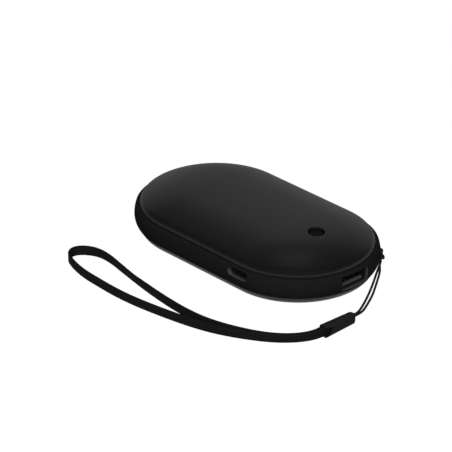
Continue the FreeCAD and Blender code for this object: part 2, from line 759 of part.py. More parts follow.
def make_charge_socket():
    """Charging socket under the board's front edge, with its tongue in the middle of the opening."""
    level = f"({BOARD_UNDER} - charge_height / 2)"
    outer = charge_prism("charge_outer", "0", "0", CHARGE_FRONT, "charge_depth")
    hollow = charge_prism("charge_hollow", "-charge_wall", "-charge_wall", CHARGE_FRONT, "charge_depth")
    node("charge_socket_shell", cut("charge_can", outer, hollow))
    filler = charge_prism("charge_block", "-charge_wall", "-charge_wall",
                          f"({CHARGE_FRONT} + charge_depth - charge_block_depth)", "charge_block_depth")
    reach = "(charge_depth - charge_block_depth - charge_tongue_recess)"
    tongue_y = f"({CHARGE_FRONT} + charge_tongue_recess + {reach} / 2)"
    tongue = block("charge_tongue", CHARGE_X, tongue_y, f"{level} - charge_tongue_thickness / 2",
                   "charge_width - 2 * charge_wall - 2 * charge_tongue_side", reach,
                   "charge_tongue_thickness")
    node("charge_socket_tongue", fuse("charge_insert", filler, tongue))
    over = f"{level} + charge_tongue_thickness / 2"
    under = f"{level} - charge_tongue_thickness / 2 - contact_thickness"
    strips = []
    for step in (-1.5, -0.5, 0.5, 1.5):
        x = f"{CHARGE_X} + {step} * charge_contact_pitch"
        for z in (over, under):
            strips.append(block(f"charge_contact_{len(strips) + 1}", x, tongue_y, z, "charge_contact_width",
                                f"{reach} - charge_tongue_recess", "contact_thickness"))
    node("charge_socket_contacts", group("charge_contacts", *strips))


def make_board_parts():
    """Power electronics on the upper face of the board, on both sides of its middle."""
    middle = f"({BOARD_START} + transistor_pitch + transistor_length / 2)"
    node("controller_chip", block("chip", middle, "parts_offset", BOARD_TOP, "chip_side", "chip_side",
                                  "chip_height"))
    pair = []
    for number, step in enumerate((-0.5, 0.5), 1):
        x = f"{middle} + {step} * transistor_pitch"
        pair.append(block(f"transistor_{number}", x, "-parts_offset", BOARD_TOP, "transistor_length",
                          "transistor_width", "transistor_height"))
    node("heater_transistors", group("transistors", *pair))
    node("boost_inductor", block("inductor", BUTTON_X, "-parts_offset - inductor_side / 2", BOARD_TOP,
                                 "inductor_side", "inductor_side", "inductor_height"))
    row = []
    for number in range(3):
        y = f"parts_offset + {number} * capacitor_pitch"
        row.append(block(f"capacitor_{number + 1}", BUTTON_X, y, BOARD_TOP, "capacitor_length",
                         "capacitor_width", "capacitor_width"))
    node("filter_capacitors", group("capacitors", *row))
    node("status_led", block("led", f"{BUTTON_X} + switch_side", "0", BOARD_TOP, "led_width", "led_length",
                             "led_width"))


def make_battery():
    """Pouch cell with rounded edges and its protection board on the end that faces the electronics."""
    body = doc.addObject("PartDesign::Body", "battery_cell")
    sketch = rectangle(body, "battery_outline", "XY_Plane", "0", BATTERY_LENGTH, BATTERY_WIDTH)
    pad = body.newObject("PartDesign::Pad", "battery_pad")
    pad.Profile = sketch
    bind(pad, {"Length": "battery_thickness"})
    doc.recompute()
    round_off = body.newObject("PartDesign::Fillet", "battery_edges")
    round_off.Base = (pad, [f"Edge{i}" for i in range(1, len(pad.Shape.Edges) + 1)])
    bind(round_off, {"Radius": "battery_round"})
    body.Tip = round_off
    node("battery_cell", bind(body, {"Placement.Base.x": BATTERY_X, "Placement.Base.z": BATTERY_UNDER}))
    node("battery_protection_board", block(
        "protection_board", f"{BATTERY_END} + protection_thickness / 2", "0",
        f"{BATTERY_UNDER} + battery_thickness / 2 - protection_height / 2",
        "protection_thickness", f"{BATTERY_WIDTH} - 2 * protection_inset", "protection_height"))


def make_heaters():
    """Heater films stuck inside both shells, and the foam that holds the cell between them."""
    body = doc.addObject("PartDesign::Body", "top_heater_film")
    sketch = new_sketch(body, "film_section", "YZ_Plane")
    radius = size("crown_radius") - size("shell_wall") - size("film_fit")
    half = size("body_width") / 2 - size("top_film_side")
    centre = Vector(0, size("top_rise") - size("crown_radius"))
    thick = size("film_thickness")
    spread = math.acos(half / radius)
    inner_spread = math.acos(half / (radius - thick))
    ends = [centre + Vector(side * half, math.sqrt(r ** 2 - half ** 2))
            for side in (-1, 1) for r in (radius, radius - thick)]
    sketch.addGeometry([
        arc(centre, radius, spread, math.pi - spread),
        line(ends[0], ends[1]),
        arc(centre, radius - thick, inner_spread, math.pi - inner_spread),
        line(ends[3], ends[2]),
    ], False)
    rule = Sketcher.Constraint
    sketch.addConstraint([
        rule("Coincident", 0, 2, 1, 1),
        rule("Coincident", 1, 2, 2, 2),
        rule("Coincident", 2, 1, 3, 1),
        rule("Coincident", 3, 2, 0, 1),
        rule("Vertical", 1),
        rule("Vertical", 3),
        rule("Coincident", 2, 3, 0, 3),
        rule("PointOnObject", 0, 3, -2),
    ])
    dimension(sketch, "drop", "crown_radius - top_rise", "DistanceY", 0, 3, -1, 1, -centre.y)
    dimension(sketch, "outer", "crown_radius - shell_wall - film_fit", "Radius", 0, radius)
    dimension(sketch, "inner", "crown_radius - shell_wall - film_fit - film_thickness", "Radius", 2,
              radius - thick)
    dimension(sketch, "right", f"{TOP_FILM_WIDTH} / 2", "DistanceX", -1, 1, 0, 1, half)
    dimension(sketch, "left", f"{TOP_FILM_WIDTH} / 2", "DistanceX", 0, 2, -1, 1, half)
    pad = body.newObject("PartDesign::Pad", "film_pad")
    pad.Profile = sketch
    pad.SideType = "Symmetric"
    bind(pad, {"Length": TOP_FILM_LENGTH})
    node("top_heater_film", bind(body, {"Placement.Base.z": JOINT_TOP}))
    node("bottom_heater_film", block("bottom_film", "0", "0", "shell_wall", BOTTOM_FILM_LENGTH,
                                     BOTTOM_FILM_WIDTH, "film_thickness"))
    node("bottom_insulation", block("bottom_foam", BATTERY_X, "0", "shell_wall + film_thickness",
                                    FOAM_LENGTH, FOAM_WIDTH, "bottom_foam_height"))
    battery_top = f"({BATTERY_UNDER} + battery_thickness)"
    sag = f"{FOAM_WIDTH} ^ 2 / (8 * (crown_radius - shell_wall - film_fit - film_thickness))"
    ceiling = f"({CROWN_TOP} - shell_wall - film_fit - film_thickness - {sag} - foam_fit)"
    node("top_insulation", block("top_foam", BATTERY_X, "0", battery_top, f"{FOAM_LENGTH} / 2", FOAM_WIDTH,
                                 f"{ceiling} - {battery_top}"))


def tube(points, radii, section):
    """Sweep a section along straight runs joined by tangent arcs; returns the solid and the path length."""
    edges = []
    start = points[0]
    for before, corner, after, radius in zip(points, points[1:], points[2:], radii):
        back, ahead = (before - corner).normalize(), (after - corner).normalize()
        half = back.getAngle(ahead) / 2
        trim = radius / math.tan(half)
        inner = corner + (back + ahead).normalize() * (radius / math.sin(half) - radius)
        edges.append(Part.LineSegment(start, corner + back * trim).toShape())
        edges.append(Part.Arc(corner + back * trim, inner, corner + ahead * trim).toShape())
        start = corner + ahead * trim
    edges.append(Part.LineSegment(start, points[-1]).toShape())
    path = Part.Wire(edges)
    sweep = Part.BRepOffsetAPI.MakePipeShell(path)
    if section.flat:
        sweep.setBiNormalMode(Vector(0, 0, 1))
    sweep.add(section.wire(points[0], points[1] - points[0]))
    sweep.build()
    sweep.makeSolid()
    return sweep.shape(), path.Length


class RoundSection:
    flat = False

    def __init__(self, radius):
        self.radius = radius
        self.area = math.pi * radius ** 2

    def wire(self, point, direction):
        return Part.Wire([Part.Circle(point, direction, self.radius).toShape()])


class StrapSection:
    """Flat band standing on its edge."""
    flat = True

    def __init__(self, thickness, width):
        self.thickness, self.width = thickness, width
        self.area = thickness * width

    def wire(self, point, direction):
        aside = direction.cross(Vector(0, 0, 1)).normalize() * (self.thickness / 2)
        up = Vector(0, 0, self.width / 2)
        corners = [aside + up, up - aside, -aside - up, aside - up, aside + up]
        return Part.makePolygon([point + corner for corner in corners])


def bend_radii(points):
    """Largest arc that the two runs at each corner leave room for."""
    radii = []
    for before, corner, after in zip(points, points[1:], points[2:]):
        half_turn = (corner - before).getAngle(after - corner) / 2
        shorter = min((corner - before).Length, (after - corner).Length)
        radii.append(BEND_SHARE * shorter / math.tan(half_turn))
    return radii


def swept(label, points, section):
    """Piece along a route; prints the arcs' radii and compares its volume with section times length."""
    radii = bend_radii(points)
    solid, length = tube(points, radii, section)
    share = solid.Volume / (section.area * length)
    print(f"{label}: length {length:.1f}, radii {[round(r, 1) for r in radii]}, volume share {share:.3f}")
    item = doc.addObject("Part::Feature", label)
    item.Shape = solid
    return item


def lead(label, x_from, x_to, y, z_from, z_to):
    """Lead that runs along X and then turns up or down."""
    route = [Vector(x_from, y, z_from), Vector(x_to, y, z_from), Vector(x_to, y, z_to)]
    return swept(label, route, RoundSection(size("lead_radius")))


def make_leads():
    """Insulated leads from the cell and the heaters to the board."""
    radius = size("lead_radius")
    film_face = size("shell_wall") + size("film_thickness")
    joint_top = size("bottom_rise") + size("band_height")
    board_under = joint_top - size("board_drop")
    board_top = board_under + size("board_thickness")
    crown_top = joint_top + size("top_rise")
    half_straight = (size("body_length") - size("body_width")) / 2
    charge_x = size("body_length") / 2 - size("charge_end_distance")
    charge_side = charge_x - size("charge_width") / 2 - size("charge_side_gap")
    board_start = charge_side - size("boss_side_gap") - size("boss_radius") - size("boss_side_offset")
    cell_end = board_start - size("board_gap")
    cell_level = film_face + size("bottom_foam_height") + size("battery_thickness") / 2
    rise_x = cell_end + size("board_gap") + 2 * radius
    for colour, side in (("red", -1), ("black", 1)):
        y = side * size("lead_spacing") / 2
        label = f"battery_lead_{colour}"
        node(label, lead(label, cell_end, rise_x, y, cell_level, board_under))
    lower, upper = [], []
    for side in (-1, 1):
        y = side * size("lead_spacing") / 2
        end = half_straight + size("bottom_film_reach")
        lower.append(lead(f"bottom_heater_lead_{side + 2}", end - size("lead_run"),
                          end + size("lead_reach"), y, film_face + radius, board_under))
        end = half_straight - size("top_film_inset")
        sag = y ** 2 / (2 * size("crown_radius"))
        ceiling = crown_top - film_face - size("film_fit") - sag - size("foam_fit")
        upper.append(lead(f"top_heater_lead_{side + 2}", end - size("lead_run"), end + size("lead_reach"), y,
                          ceiling - radius, board_top))
    node("bottom_heater_leads", group("bottom_leads", *lower))
    node("top_heater_leads", group("top_leads", *upper))


def make_thermistor():
    """Temperature sensor bead on the lower film with two thin legs up to the board."""
    x = f"({BOTTOM_FILM_LENGTH} / 2 - thermistor_inset)"
    y = f"({BOTTOM_FILM_WIDTH} / 2 - thermistor_margin)"
    level = "(shell_wall + film_thickness + thermistor_radius)"
    bead = doc.addObject("Part::Sphere", "thermistor_bead")
    bind(bead, {
        "Radius": "thermistor_radius",
        "Placement.Base.x": x,
        "Placement.Base.y": y,
        "Placement.Base.z": level,
    })
    legs = []
    for side in (-1, 1):
        leg_x = f"{x} + {side} * thermistor_radius / 2"
        legs.append(rod(f"thermistor_leg_{side + 2}", leg_x, y, level, "thermistor_lead_radius",
                        f"{BOARD_UNDER} - {level}"))
    node("thermistor", fuse("thermistor_whole", bead, *legs))


# Lanyard route, chosen by hand from the photograph. The cord starts and ends in the sleeve, and its middle is
# hitched round the bridge in the band: in at the lower window, up behind the bridge, out at the upper window
# and across the front of both strands. Hitch points are given across the band, outwards from the end's axis
# and as a height.
CORD_OUT = [
    (61.0, -11.3, 2.5), (60.9, -8.2, 2.4), (59.3, -4.3, 1.7), (56.7, 0.1, 1.0), (53.8, 4.8, 0.6),
    (51.2, 9.0, 0.5), (48.7, 13.1, 0.9), (47.0, 16.3, 2.3), (45.7, 19.0, 4.2),
]
HITCH = [
    (-0.5, 32.1, 6.2), (-0.5, 31.85, 9.0), (-0.5, 27.2, 9.0), (-1.0, 27.2, 12.6), (-1.0, 32.1, 12.7),
    (-1.1, 31.95, 10.2), (-1.0, 32.85, 8.9),
]
CORD_BACK = [
    (46.4, 19.9, 4.2), (47.9, 17.1, 2.2), (49.7, 14.0, 0.9), (52.3, 10.1, 0.5), (54.9, 5.8, 0.6),
    (57.7, 1.1, 1.0), (60.3, -3.3, 1.7), (61.9, -7.7, 2.4), (62.0, -11.3, 2.5),
]
FERRULE_MOUTH = (62.1, -25.6)
FERRULE_TURN = 92.5
# The strap stands on its edge: two legs side by side from the sleeve, which part to make the wrist loop.
STRAP_OUT = [
    (61.3, -21.6, 2.5), (61.4, -26.0, 2.4), (60.9, -28.6, 2.2), (59.4, -31.9, 1.9), (56.7, -36.3, 1.8),
    (52.6, -40.4, 1.8), (47.7, -43.8, 1.8), (41.6, -46.8, 1.8), (34.8, -49.2, 1.8), (27.4, -51.0, 1.8),
    (19.0, -51.7, 1.8), (10.2, -51.4, 1.8), (1.2, -50.5, 1.8), (-7.6, -49.3, 1.8), (-16.4, -47.9, 1.8),
    (-25.6, -45.9, 1.8), (-33.8, -44.1, 1.8), (-40.2, -43.9, 1.8), (-45.3, -46.2, 1.8), (-48.1, -50.2, 1.8),
    (-46.2, -54.4, 1.8),
]
STRAP_BACK = [
    (-40.4, -57.1, 1.8), (-31.6, -59.2, 1.8), (-22.0, -59.8, 1.8), (-12.4, -60.2, 1.8), (-2.8, -59.8, 1.8),
    (6.4, -58.6, 1.8), (15.6, -57.1, 1.8), (24.4, -55.3, 1.8), (32.6, -52.8, 1.8), (40.4, -49.2, 1.8),
    (47.2, -45.5, 1.8), (53.2, -41.4, 1.8), (57.6, -36.9, 1.8), (60.4, -32.4, 1.9), (62.0, -28.8, 2.2),
    (62.6, -26.0, 2.4), (62.5, -21.6, 2.5),
]


def hitch_point(across, out, z):
    turn = math.radians(size("lanyard_angle"))
    middle_x = (size("body_length") - size("body_width")) / 2
    return Vector(middle_x + out * math.cos(turn) - across * math.sin(turn),
                  out * math.sin(turn) + across * math.cos(turn), z)


def make_lanyard():
    """Limp loop of thin cord and the flat wrist strap."""
    route = [Vector(*p) for p in CORD_OUT]
    route += [hitch_point(*p) for p in HITCH]
    route += [hitch_point(-across, out, z) for across, out, z in reversed(HITCH)]
    route += [Vector(*p) for p in CORD_BACK]
    node("lanyard_cord", swept("lanyard_cord", route, RoundSection(size("cord_diameter") / 2)))
    strap = [Vector(*p) for p in STRAP_OUT + STRAP_BACK]
    band = StrapSection(size("strap_thickness"), size("strap_width"))
    node("wrist_strap", swept("wrist_strap", strap, band))


def make_ferrule():
    """Tapered sleeve on its edge: the strap goes in at the notched mouth, the cord at the rounded tip."""
    body = doc.addObject("PartDesign::Body", "lanyard_ferrule")
    mouth = rectangle(body, "mouth", "YZ_Plane", "0", "ferrule_mouth_width", "ferrule_mouth_height")
    sleeve = body.newObject("PartDesign::Pad", "sleeve")
    sleeve.Profile = mouth
    bind(sleeve, {"Length": "ferrule_length", "TaperAngle": "-atan(ferrule_taper / ferrule_length)"})
    doc.recompute()
    edges = [number for number, edge in enumerate(sleeve.Shape.Edges, 1) if edge.BoundBox.XMax > 0]
    rounding = body.newObject("PartDesign::Fillet", "sleeve_edges")
    rounding.Base = (sleeve, [f"Edge{number}" for number in edges])
    bind(rounding, {"Radius": "ferrule_round"})
    strap_hole = body.newObject("PartDesign::Pocket", "strap_hole")
    strap_hole.Profile = rectangle(body, "strap_opening", "YZ_Plane", "0",
                                   "strap_pitch + strap_thickness + 2 * ferrule_fit",
                                   "strap_width + 2 * ferrule_fit")
    strap_hole.Reversed = True
    bind(strap_hole, {"Length": "ferrule_strap_depth"})
    cord_hole = body.newObject("PartDesign::Pocket", "cord_hole")
    cord_hole.Profile = rectangle(body, "cord_opening", "YZ_Plane", "ferrule_length",
                                  "cord_pitch + cord_diameter + 2 * ferrule_fit",
                                  "cord_diameter + 2 * ferrule_fit")
    bind(cord_hole, {"Length": "ferrule_cord_depth"})
    notch = body.newObject("PartDesign::Pocket", "mouth_notch")
    outline = new_sketch(body, "notch_outline", "XZ_Plane")
    radius = size("ferrule_notch_radius")
    straight = size("ferrule_notch_depth") - radius
    outline.addGeometry([
        line(Vector(0, -radius), Vector(straight, -radius)),
        arc(Vector(straight, 0), radius, -math.pi / 2, math.pi / 2),
        line(Vector(straight, radius), Vector(0, radius)),
        line(Vector(0, radius), Vector(0, -radius)),
    ], False)
    outline.addConstraint([
        Sketcher.Constraint("Tangent", 0, 2, 1, 1),
        Sketcher.Constraint("Tangent", 1, 2, 2, 1),
        Sketcher.Constraint("Coincident", 2, 2, 3, 1),
        Sketcher.Constraint("Coincident", 3, 2, 0, 1),
        Sketcher.Constraint("Horizontal", 0),
        Sketcher.Constraint("PointOnObject", 0, 1, -2),
        Sketcher.Constraint("PointOnObject", 2, 2, -2),
        Sketcher.Constraint("PointOnObject", 1, 3, -1),
    ])
    dimension(outline, "radius", "ferrule_notch_radius", "Radius", 1, 1)
    dimension(outline, "straight", "ferrule_notch_depth - ferrule_notch_radius", "Distance", 0, 1)
    notch.Profile = outline
    notch.Type = "ThroughAll"
    notch.Reversed = True
    body.Tip = notch
    doc.recompute()
    solids = [feature.Shape.Volume for feature in (rounding, strap_hole, cord_hole, notch)]
    if sorted(solids, reverse=True) != solids or len(set(solids)) < len(solids):
        raise RuntimeError("an opening in the sleeve cuts nothing")
    mouth_x, mouth_y = FERRULE_MOUTH
    body.Placement.Base = Vector(mouth_x, mouth_y, 0)
    body.Placement.Rotation = Rotation(Vector(0, 0, 1), FERRULE_TURN)
    node("lanyard_ferrule", bind(body, {"Placement.Base.z": "ferrule_mouth_height / 2"}))


make_top_shell()
make_bottom_shell()
make_middle_frame()
make_button()
make_switch()
make_board()
make_output_socket()
make_charge_socket()
make_board_parts()
make_battery()
make_heaters()
make_leads()
make_thermistor()
make_lanyard()
make_ferrule()
doc.recompute()

for item in doc.Objects:
    if "Invalid" in item.State or "Error" in item.State:
        raise RuntimeError(f"{item.Name} failed: {item.State}")
for label, item in nodes.items():
    if item.Shape.isNull() or not item.Shape.isValid():
        raise RuntimeError(f"{label} has no valid shape")

os.makedirs("parts", exist_ok=True)
for label, item in nodes.items():
    item.Shape.exportStep(f"parts/{label}.step")
print(f"{len(nodes)} pieces")
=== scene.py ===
import math

import bmesh
import bpy
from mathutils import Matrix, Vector


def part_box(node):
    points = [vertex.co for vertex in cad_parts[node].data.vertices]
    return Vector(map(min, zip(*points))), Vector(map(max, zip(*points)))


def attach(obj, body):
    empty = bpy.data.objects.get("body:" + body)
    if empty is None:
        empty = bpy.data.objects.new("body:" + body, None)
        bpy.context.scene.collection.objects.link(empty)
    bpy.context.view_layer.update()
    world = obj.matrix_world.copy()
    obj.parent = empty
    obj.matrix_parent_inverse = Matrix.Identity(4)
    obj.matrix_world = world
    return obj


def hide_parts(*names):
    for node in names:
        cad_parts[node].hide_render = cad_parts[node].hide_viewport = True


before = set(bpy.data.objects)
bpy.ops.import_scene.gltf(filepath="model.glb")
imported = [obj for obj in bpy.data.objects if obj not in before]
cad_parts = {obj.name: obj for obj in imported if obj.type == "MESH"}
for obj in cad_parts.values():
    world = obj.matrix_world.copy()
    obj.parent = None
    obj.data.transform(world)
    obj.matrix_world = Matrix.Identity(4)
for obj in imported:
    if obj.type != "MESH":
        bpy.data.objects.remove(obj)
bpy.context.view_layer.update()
scene = bpy.context.scene
MM = 0.001

# Studio
# A white paper floor, a pale wall of light behind it that fades to a dim room in front, and one soft lamp
# overhead, a little behind the warmer. A wide fill from the front reaches matt surfaces only.
CAMERA_AZIMUTH = math.radians(46.708)
CAMERA_ELEVATION = math.radians(27.502)
CAMERA_DISTANCE = 1199.6 * MM
AIM_RIGHT = -11.4 * MM
AIM_UP = 11.4 * MM
SENSOR = 36.0
LENS = 251.0
FLOOR_SIZE = 8.0
FLOOR_GAP = 0.02 * MM
FLOOR_COLOUR = "#9C9C9C"
FLOOR_GLOW = 1.1
GLOW_SHARE = 0.9
# What the floor's glow loses in reflections, from in front of the warmer to behind it.
MIRROR_FADE = {"From Min": -0.03, "From Max": 0.05, "To Min": 0.2, "To Max": 0.8}
# The way to the wall of light, and its greys by the cosine of the angle from there.
BACKDROP = (-0.728, 0.686, 0.0)
LIGHT_WALL = [(0.54, "#545454"), (0.70, "#9D9D9D"), (0.985, "#A6A6A6"), (1.0, "#707070")]
# Each lamp's place, size and power, and whether reflections show it.
LAMPS = {
    "overhead_softbox": ((-0.36, 0.34, 1.68), 0.5, 0.5, True),
    "front_fill": ((1.12, -1.05, 1.29), 2.0, 60.0, False),
}


def linear(colour):
    """An sRGB hex colour as linear red, green, blue and alpha."""
    channels = [int(colour[place:place + 2], 16) / 255 for place in (1, 3, 5)]
    return [c / 12.92 if c <= 0.04045 else ((c + 0.055) / 1.055) ** 2.4 for c in channels] + [1.0]


def add_node(tree, kind, inputs, **settings):
    """Add a node with its settings; each input gets a value or a link from another node's output."""
    made = tree.nodes.new(kind)
    for name, value in settings.items():
        setattr(made, name, value)
    for name, value in inputs.items():
        if isinstance(value, bpy.types.NodeSocket):
            tree.links.new(value, made.inputs[name])
        else:
            made.inputs[name].default_value = value
    return made


def new_material(name, colour, roughness, specular=0.5, metallic=0.0):
    """A material with its plain values set: it, its node tree and its surface shader."""
    material = bpy.data.materials.new(name)
    material.use_nodes = True
    tree = material.node_tree
    shader = tree.nodes["Principled BSDF"]
    shader.inputs["Base Color"].default_value = linear(colour)
    shader.inputs["Roughness"].default_value = roughness
    shader.inputs["Specular IOR Level"].default_value = specular
    shader.inputs["Metallic"].default_value = metallic
    return material, tree, shader


scene.view_settings.view_transform = "Standard"
world = bpy.data.worlds.new("studio_light")
scene.world = world
world.use_nodes = True
sky = world.node_tree
direction = add_node(sky, "ShaderNodeTexCoord", {})
facing = add_node(sky, "ShaderNodeVectorMath", {0: direction.outputs["Generated"], 1: BACKDROP},
                  operation="DOT_PRODUCT")
fade = add_node(sky, "ShaderNodeValToRGB", {"Fac": facing.outputs["Value"]})
stops = fade.color_ramp.elements
for stop, (place, colour) in zip(stops, (LIGHT_WALL[0], LIGHT_WALL[-1])):
    stop.position = place
    stop.color = linear(colour)
for place, colour in LIGHT_WALL[1:-1]:
    stops.new(place).color = linear(colour)
sky.links.new(fade.outputs["Color"], sky.nodes["Background"].inputs["Color"])

# White paper: a matt floor that shows the shadow faintly. It is white to the eye, and in reflections it is
# white in front of the warmer and fades to grey behind it.
bpy.ops.object.select_all(action="DESELECT")
bpy.ops.mesh.primitive_plane_add(size=FLOOR_SIZE, location=(0, 0, -FLOOR_GAP))
floor = bpy.context.object
floor.name = "floor"
paper, tree, shader = new_material("white_paper", FLOOR_COLOUR, roughness=0.9, specular=0.0)
light_path = add_node(tree, "ShaderNodeLightPath", {})
straight = add_node(tree, "ShaderNodeMath", {0: light_path.outputs["Is Camera Ray"],
                                             1: light_path.outputs["Is Transmission Ray"]},
                    operation="MAXIMUM")
seen = add_node(tree, "ShaderNodeMath", {0: straight.outputs["Value"],
                                         1: light_path.outputs["Is Glossy Ray"]}, operation="MAXIMUM")
share = add_node(tree, "ShaderNodeMath", {0: seen.outputs["Value"], 1: GLOW_SHARE}, operation="MULTIPLY")
places = add_node(tree, "ShaderNodeTexCoord", {})
behind = add_node(tree, "ShaderNodeVectorMath", {0: places.outputs["Object"], 1: BACKDROP},
                  operation="DOT_PRODUCT")
dimming = add_node(tree, "ShaderNodeMapRange", {"Value": behind.outputs["Value"], **MIRROR_FADE})
loss = add_node(tree, "ShaderNodeMath", {0: light_path.outputs["Is Glossy Ray"],
                                         1: dimming.outputs["Result"]}, operation="MULTIPLY")
strength = add_node(tree, "ShaderNodeMath", {0: FLOOR_GLOW, 1: loss.outputs["Value"]}, operation="SUBTRACT")
glow = add_node(tree, "ShaderNodeEmission", {"Strength": strength.outputs["Value"]})
mix = add_node(tree, "ShaderNodeMixShader", {0: share.outputs["Value"], 1: shader.outputs["BSDF"],
                                             2: glow.outputs["Emission"]})
tree.links.new(mix.outputs["Shader"], tree.nodes["Material Output"].inputs["Surface"])
floor.data.materials.append(paper)

for name, (place, size, power, mirrored) in LAMPS.items():
    bpy.ops.object.light_add(type="AREA", location=place)
    lamp = bpy.context.object
    lamp.name = name
    lamp.data.shape = "DISK"
    lamp.data.size = size
    lamp.data.energy = power
    lamp.visible_glossy = mirrored
    lamp.rotation_euler = (-lamp.location).to_track_quat("-Z", "Y").to_euler()

bpy.ops.object.camera_add(rotation=(math.pi / 2 - CAMERA_ELEVATION, 0, CAMERA_AZIMUTH))
camera = bpy.context.object
bpy.context.view_layer.update()
camera.location = camera.matrix_world.to_3x3() @ Vector((AIM_RIGHT, AIM_UP, CAMERA_DISTANCE))
camera.data.sensor_width = SENSOR
camera.data.lens = LENS
scene.camera = camera

# Bottom shell
# The lower half of the housing: a shallow dish with a flat to lie on, injection moulded in ABS and bonded
# into the band by a skirt inside its rim.
SHELL_WALL = 1.5 * MM
RIM_INSET = 0.6 * MM
SKIRT_DEPTH = 1.0 * MM
SKIRT_WALL = 1.1 * MM
FRAME_WALL = 2.0 * MM
LAP_CLEARANCE = 0.15 * MM
BOTTOM_FLANK = 32.0 * MM
BOTTOM_SHOULDER = 3.2 * MM
END_STEPS = 56
ARC_STEPS = 12
POINT_SIZE = 1.0 * MM
MERGE = 0.001 * MM
SMOOTH_ANGLE = math.radians(30)


def arc(centre, radius, start, end, steps=ARC_STEPS):
    """Points along an arc in a section, from one angle to another."""
    angles = [start + (end - start) * step / steps for step in range(steps + 1)]
    return [centre + radius * Vector((math.cos(a), math.sin(a))) for a in angles]


def draw_section(name, points, axis, level, up):
    """Draw a section on the front of the right-hand end: a point extruded from corner to corner."""
    corners = [Vector((axis, -out, level + up * rise)) for out, rise in points]
    bpy.ops.object.select_all(action="DESELECT")
    bpy.ops.mesh.primitive_plane_add(size=POINT_SIZE, location=corners[0])
    piece = bpy.context.object
    piece.name = name
    bpy.ops.object.transform_apply(location=True)
    bpy.ops.object.mode_set(mode="EDIT")
    bpy.ops.mesh.merge(type="CENTER")
    for start, end in zip(corners, corners[1:]):
        if (end - start).length > MERGE:
            bpy.ops.mesh.extrude_vertices_move(TRANSFORM_OT_translate={"value": end - start})
    bpy.ops.mesh.select_all(action="SELECT")
    return piece


def close_up():
    """Join the seams of the mesh being drawn, turn its faces outwards and leave it smooth."""
    bpy.ops.mesh.select_all(action="SELECT")
    bpy.ops.mesh.remove_doubles(threshold=MERGE)
    bpy.ops.mesh.normals_make_consistent(inside=False)
    bpy.ops.object.mode_set(mode="OBJECT")
    bpy.ops.object.shade_smooth_by_angle(angle=SMOOTH_ANGLE)


def run_round(axis):
    """Carry the drawn section round both ends and along both straight sides of the stadium plan."""
    for side in (1, -1):
        bpy.ops.mesh.spin(steps=END_STEPS, angle=-math.pi, center=(side * axis, 0, 0), axis=(0, 0, 1))
        bpy.ops.mesh.extrude_edges_move(TRANSFORM_OT_translate={"value": (-side * 2 * axis, 0, 0)})
    close_up()


def skirt(half):
    """The step under a shell's rim and the skirt that laps inside the band, from the rim inwards."""
    outer = half + RIM_INSET - FRAME_WALL - LAP_CLEARANCE
    inner = outer - SKIRT_WALL
    return [Vector(p) for p in ((outer, 0), (outer, -SKIRT_DEPTH), (inner, -SKIRT_DEPTH))], inner


def finish(piece, material, body, node):
    """Give a piece its material, put it on its body and let it stand for its solid."""
    piece.data.materials.append(material)
    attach(piece, body)
    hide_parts(node)


def grain(tree, shader, size, depth, dull, detail=2.0):
    """Give a surface a fine grain: bumps of a real size and depth, and a roughness that follows them."""
    places = add_node(tree, "ShaderNodeTexCoord", {})
    noise = add_node(tree, "ShaderNodeTexNoise", {"Vector": places.outputs["Object"], "Scale": 1 / size,
                                                  "Detail": detail})
    bump = add_node(tree, "ShaderNodeBump", {"Height": noise.outputs["Fac"], "Distance": depth})
    tree.links.new(bump.outputs["Normal"], shader.inputs["Normal"])
    sheen = add_node(tree, "ShaderNodeMapRange", {"Value": noise.outputs["Fac"], "To Min": dull[0],
                                                  "To Max": dull[1]})
    tree.links.new(sheen.outputs["Result"], shader.inputs["Roughness"])


low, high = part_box("bottom_shell")
half = high.y
END_AXIS = high.x - high.y
bottom_joint = high.z - SKIRT_DEPTH
rise = bottom_joint - low.z
shoulder_centre = Vector((half - BOTTOM_SHOULDER, 0))
flank_level = rise - BOTTOM_FLANK
flank_out = math.sqrt((BOTTOM_FLANK - BOTTOM_SHOULDER) ** 2 - flank_level ** 2)
flank_centre = Vector((shoulder_centre.x - flank_out, flank_level))
lean = math.atan2(-flank_centre.y, flank_out)
lap, skirt_in = skirt(half)
inner_flank = BOTTOM_FLANK - SHELL_WALL
inner_end = math.acos((skirt_in - flank_centre.x) / inner_flank)
section = [Vector((0, rise))]
section += arc(flank_centre, BOTTOM_FLANK, math.pi / 2, lean)
section += arc(shoulder_centre, BOTTOM_SHOULDER, lean, 0)
section += lap
section += arc(flank_centre, inner_flank, inner_end, math.pi / 2)
section += [Vector((0, rise - SHELL_WALL))]
bottom_shell = draw_section("bottom_shell_moulding", section, END_AXIS, bottom_joint, -1)
run_round(END_AXIS)

# Satin lacquered ABS: near-black with a soft broad sheen, and the faint orange peel of a sprayed coat.
satin_abs, tree, shader = new_material("satin_lacquered_abs", "#0C0C0C", roughness=0.36, specular=0.45)
grain(tree, shader, size=0.6 * MM, depth=0.002 * MM, dull=(0.33, 0.39))
finish(bottom_shell, satin_abs, "housing", "bottom_shell")

# Middle frame
# The barrel-sided band between the shells, fuller in its upper half, moulded in ABS with a fine spark-eroded
# texture. The sockets look out through it, and two windows leave a bridge for the lanyard.
BAND_BULGE = 1.5 * MM
BAND_EDGE = 0.45 * MM
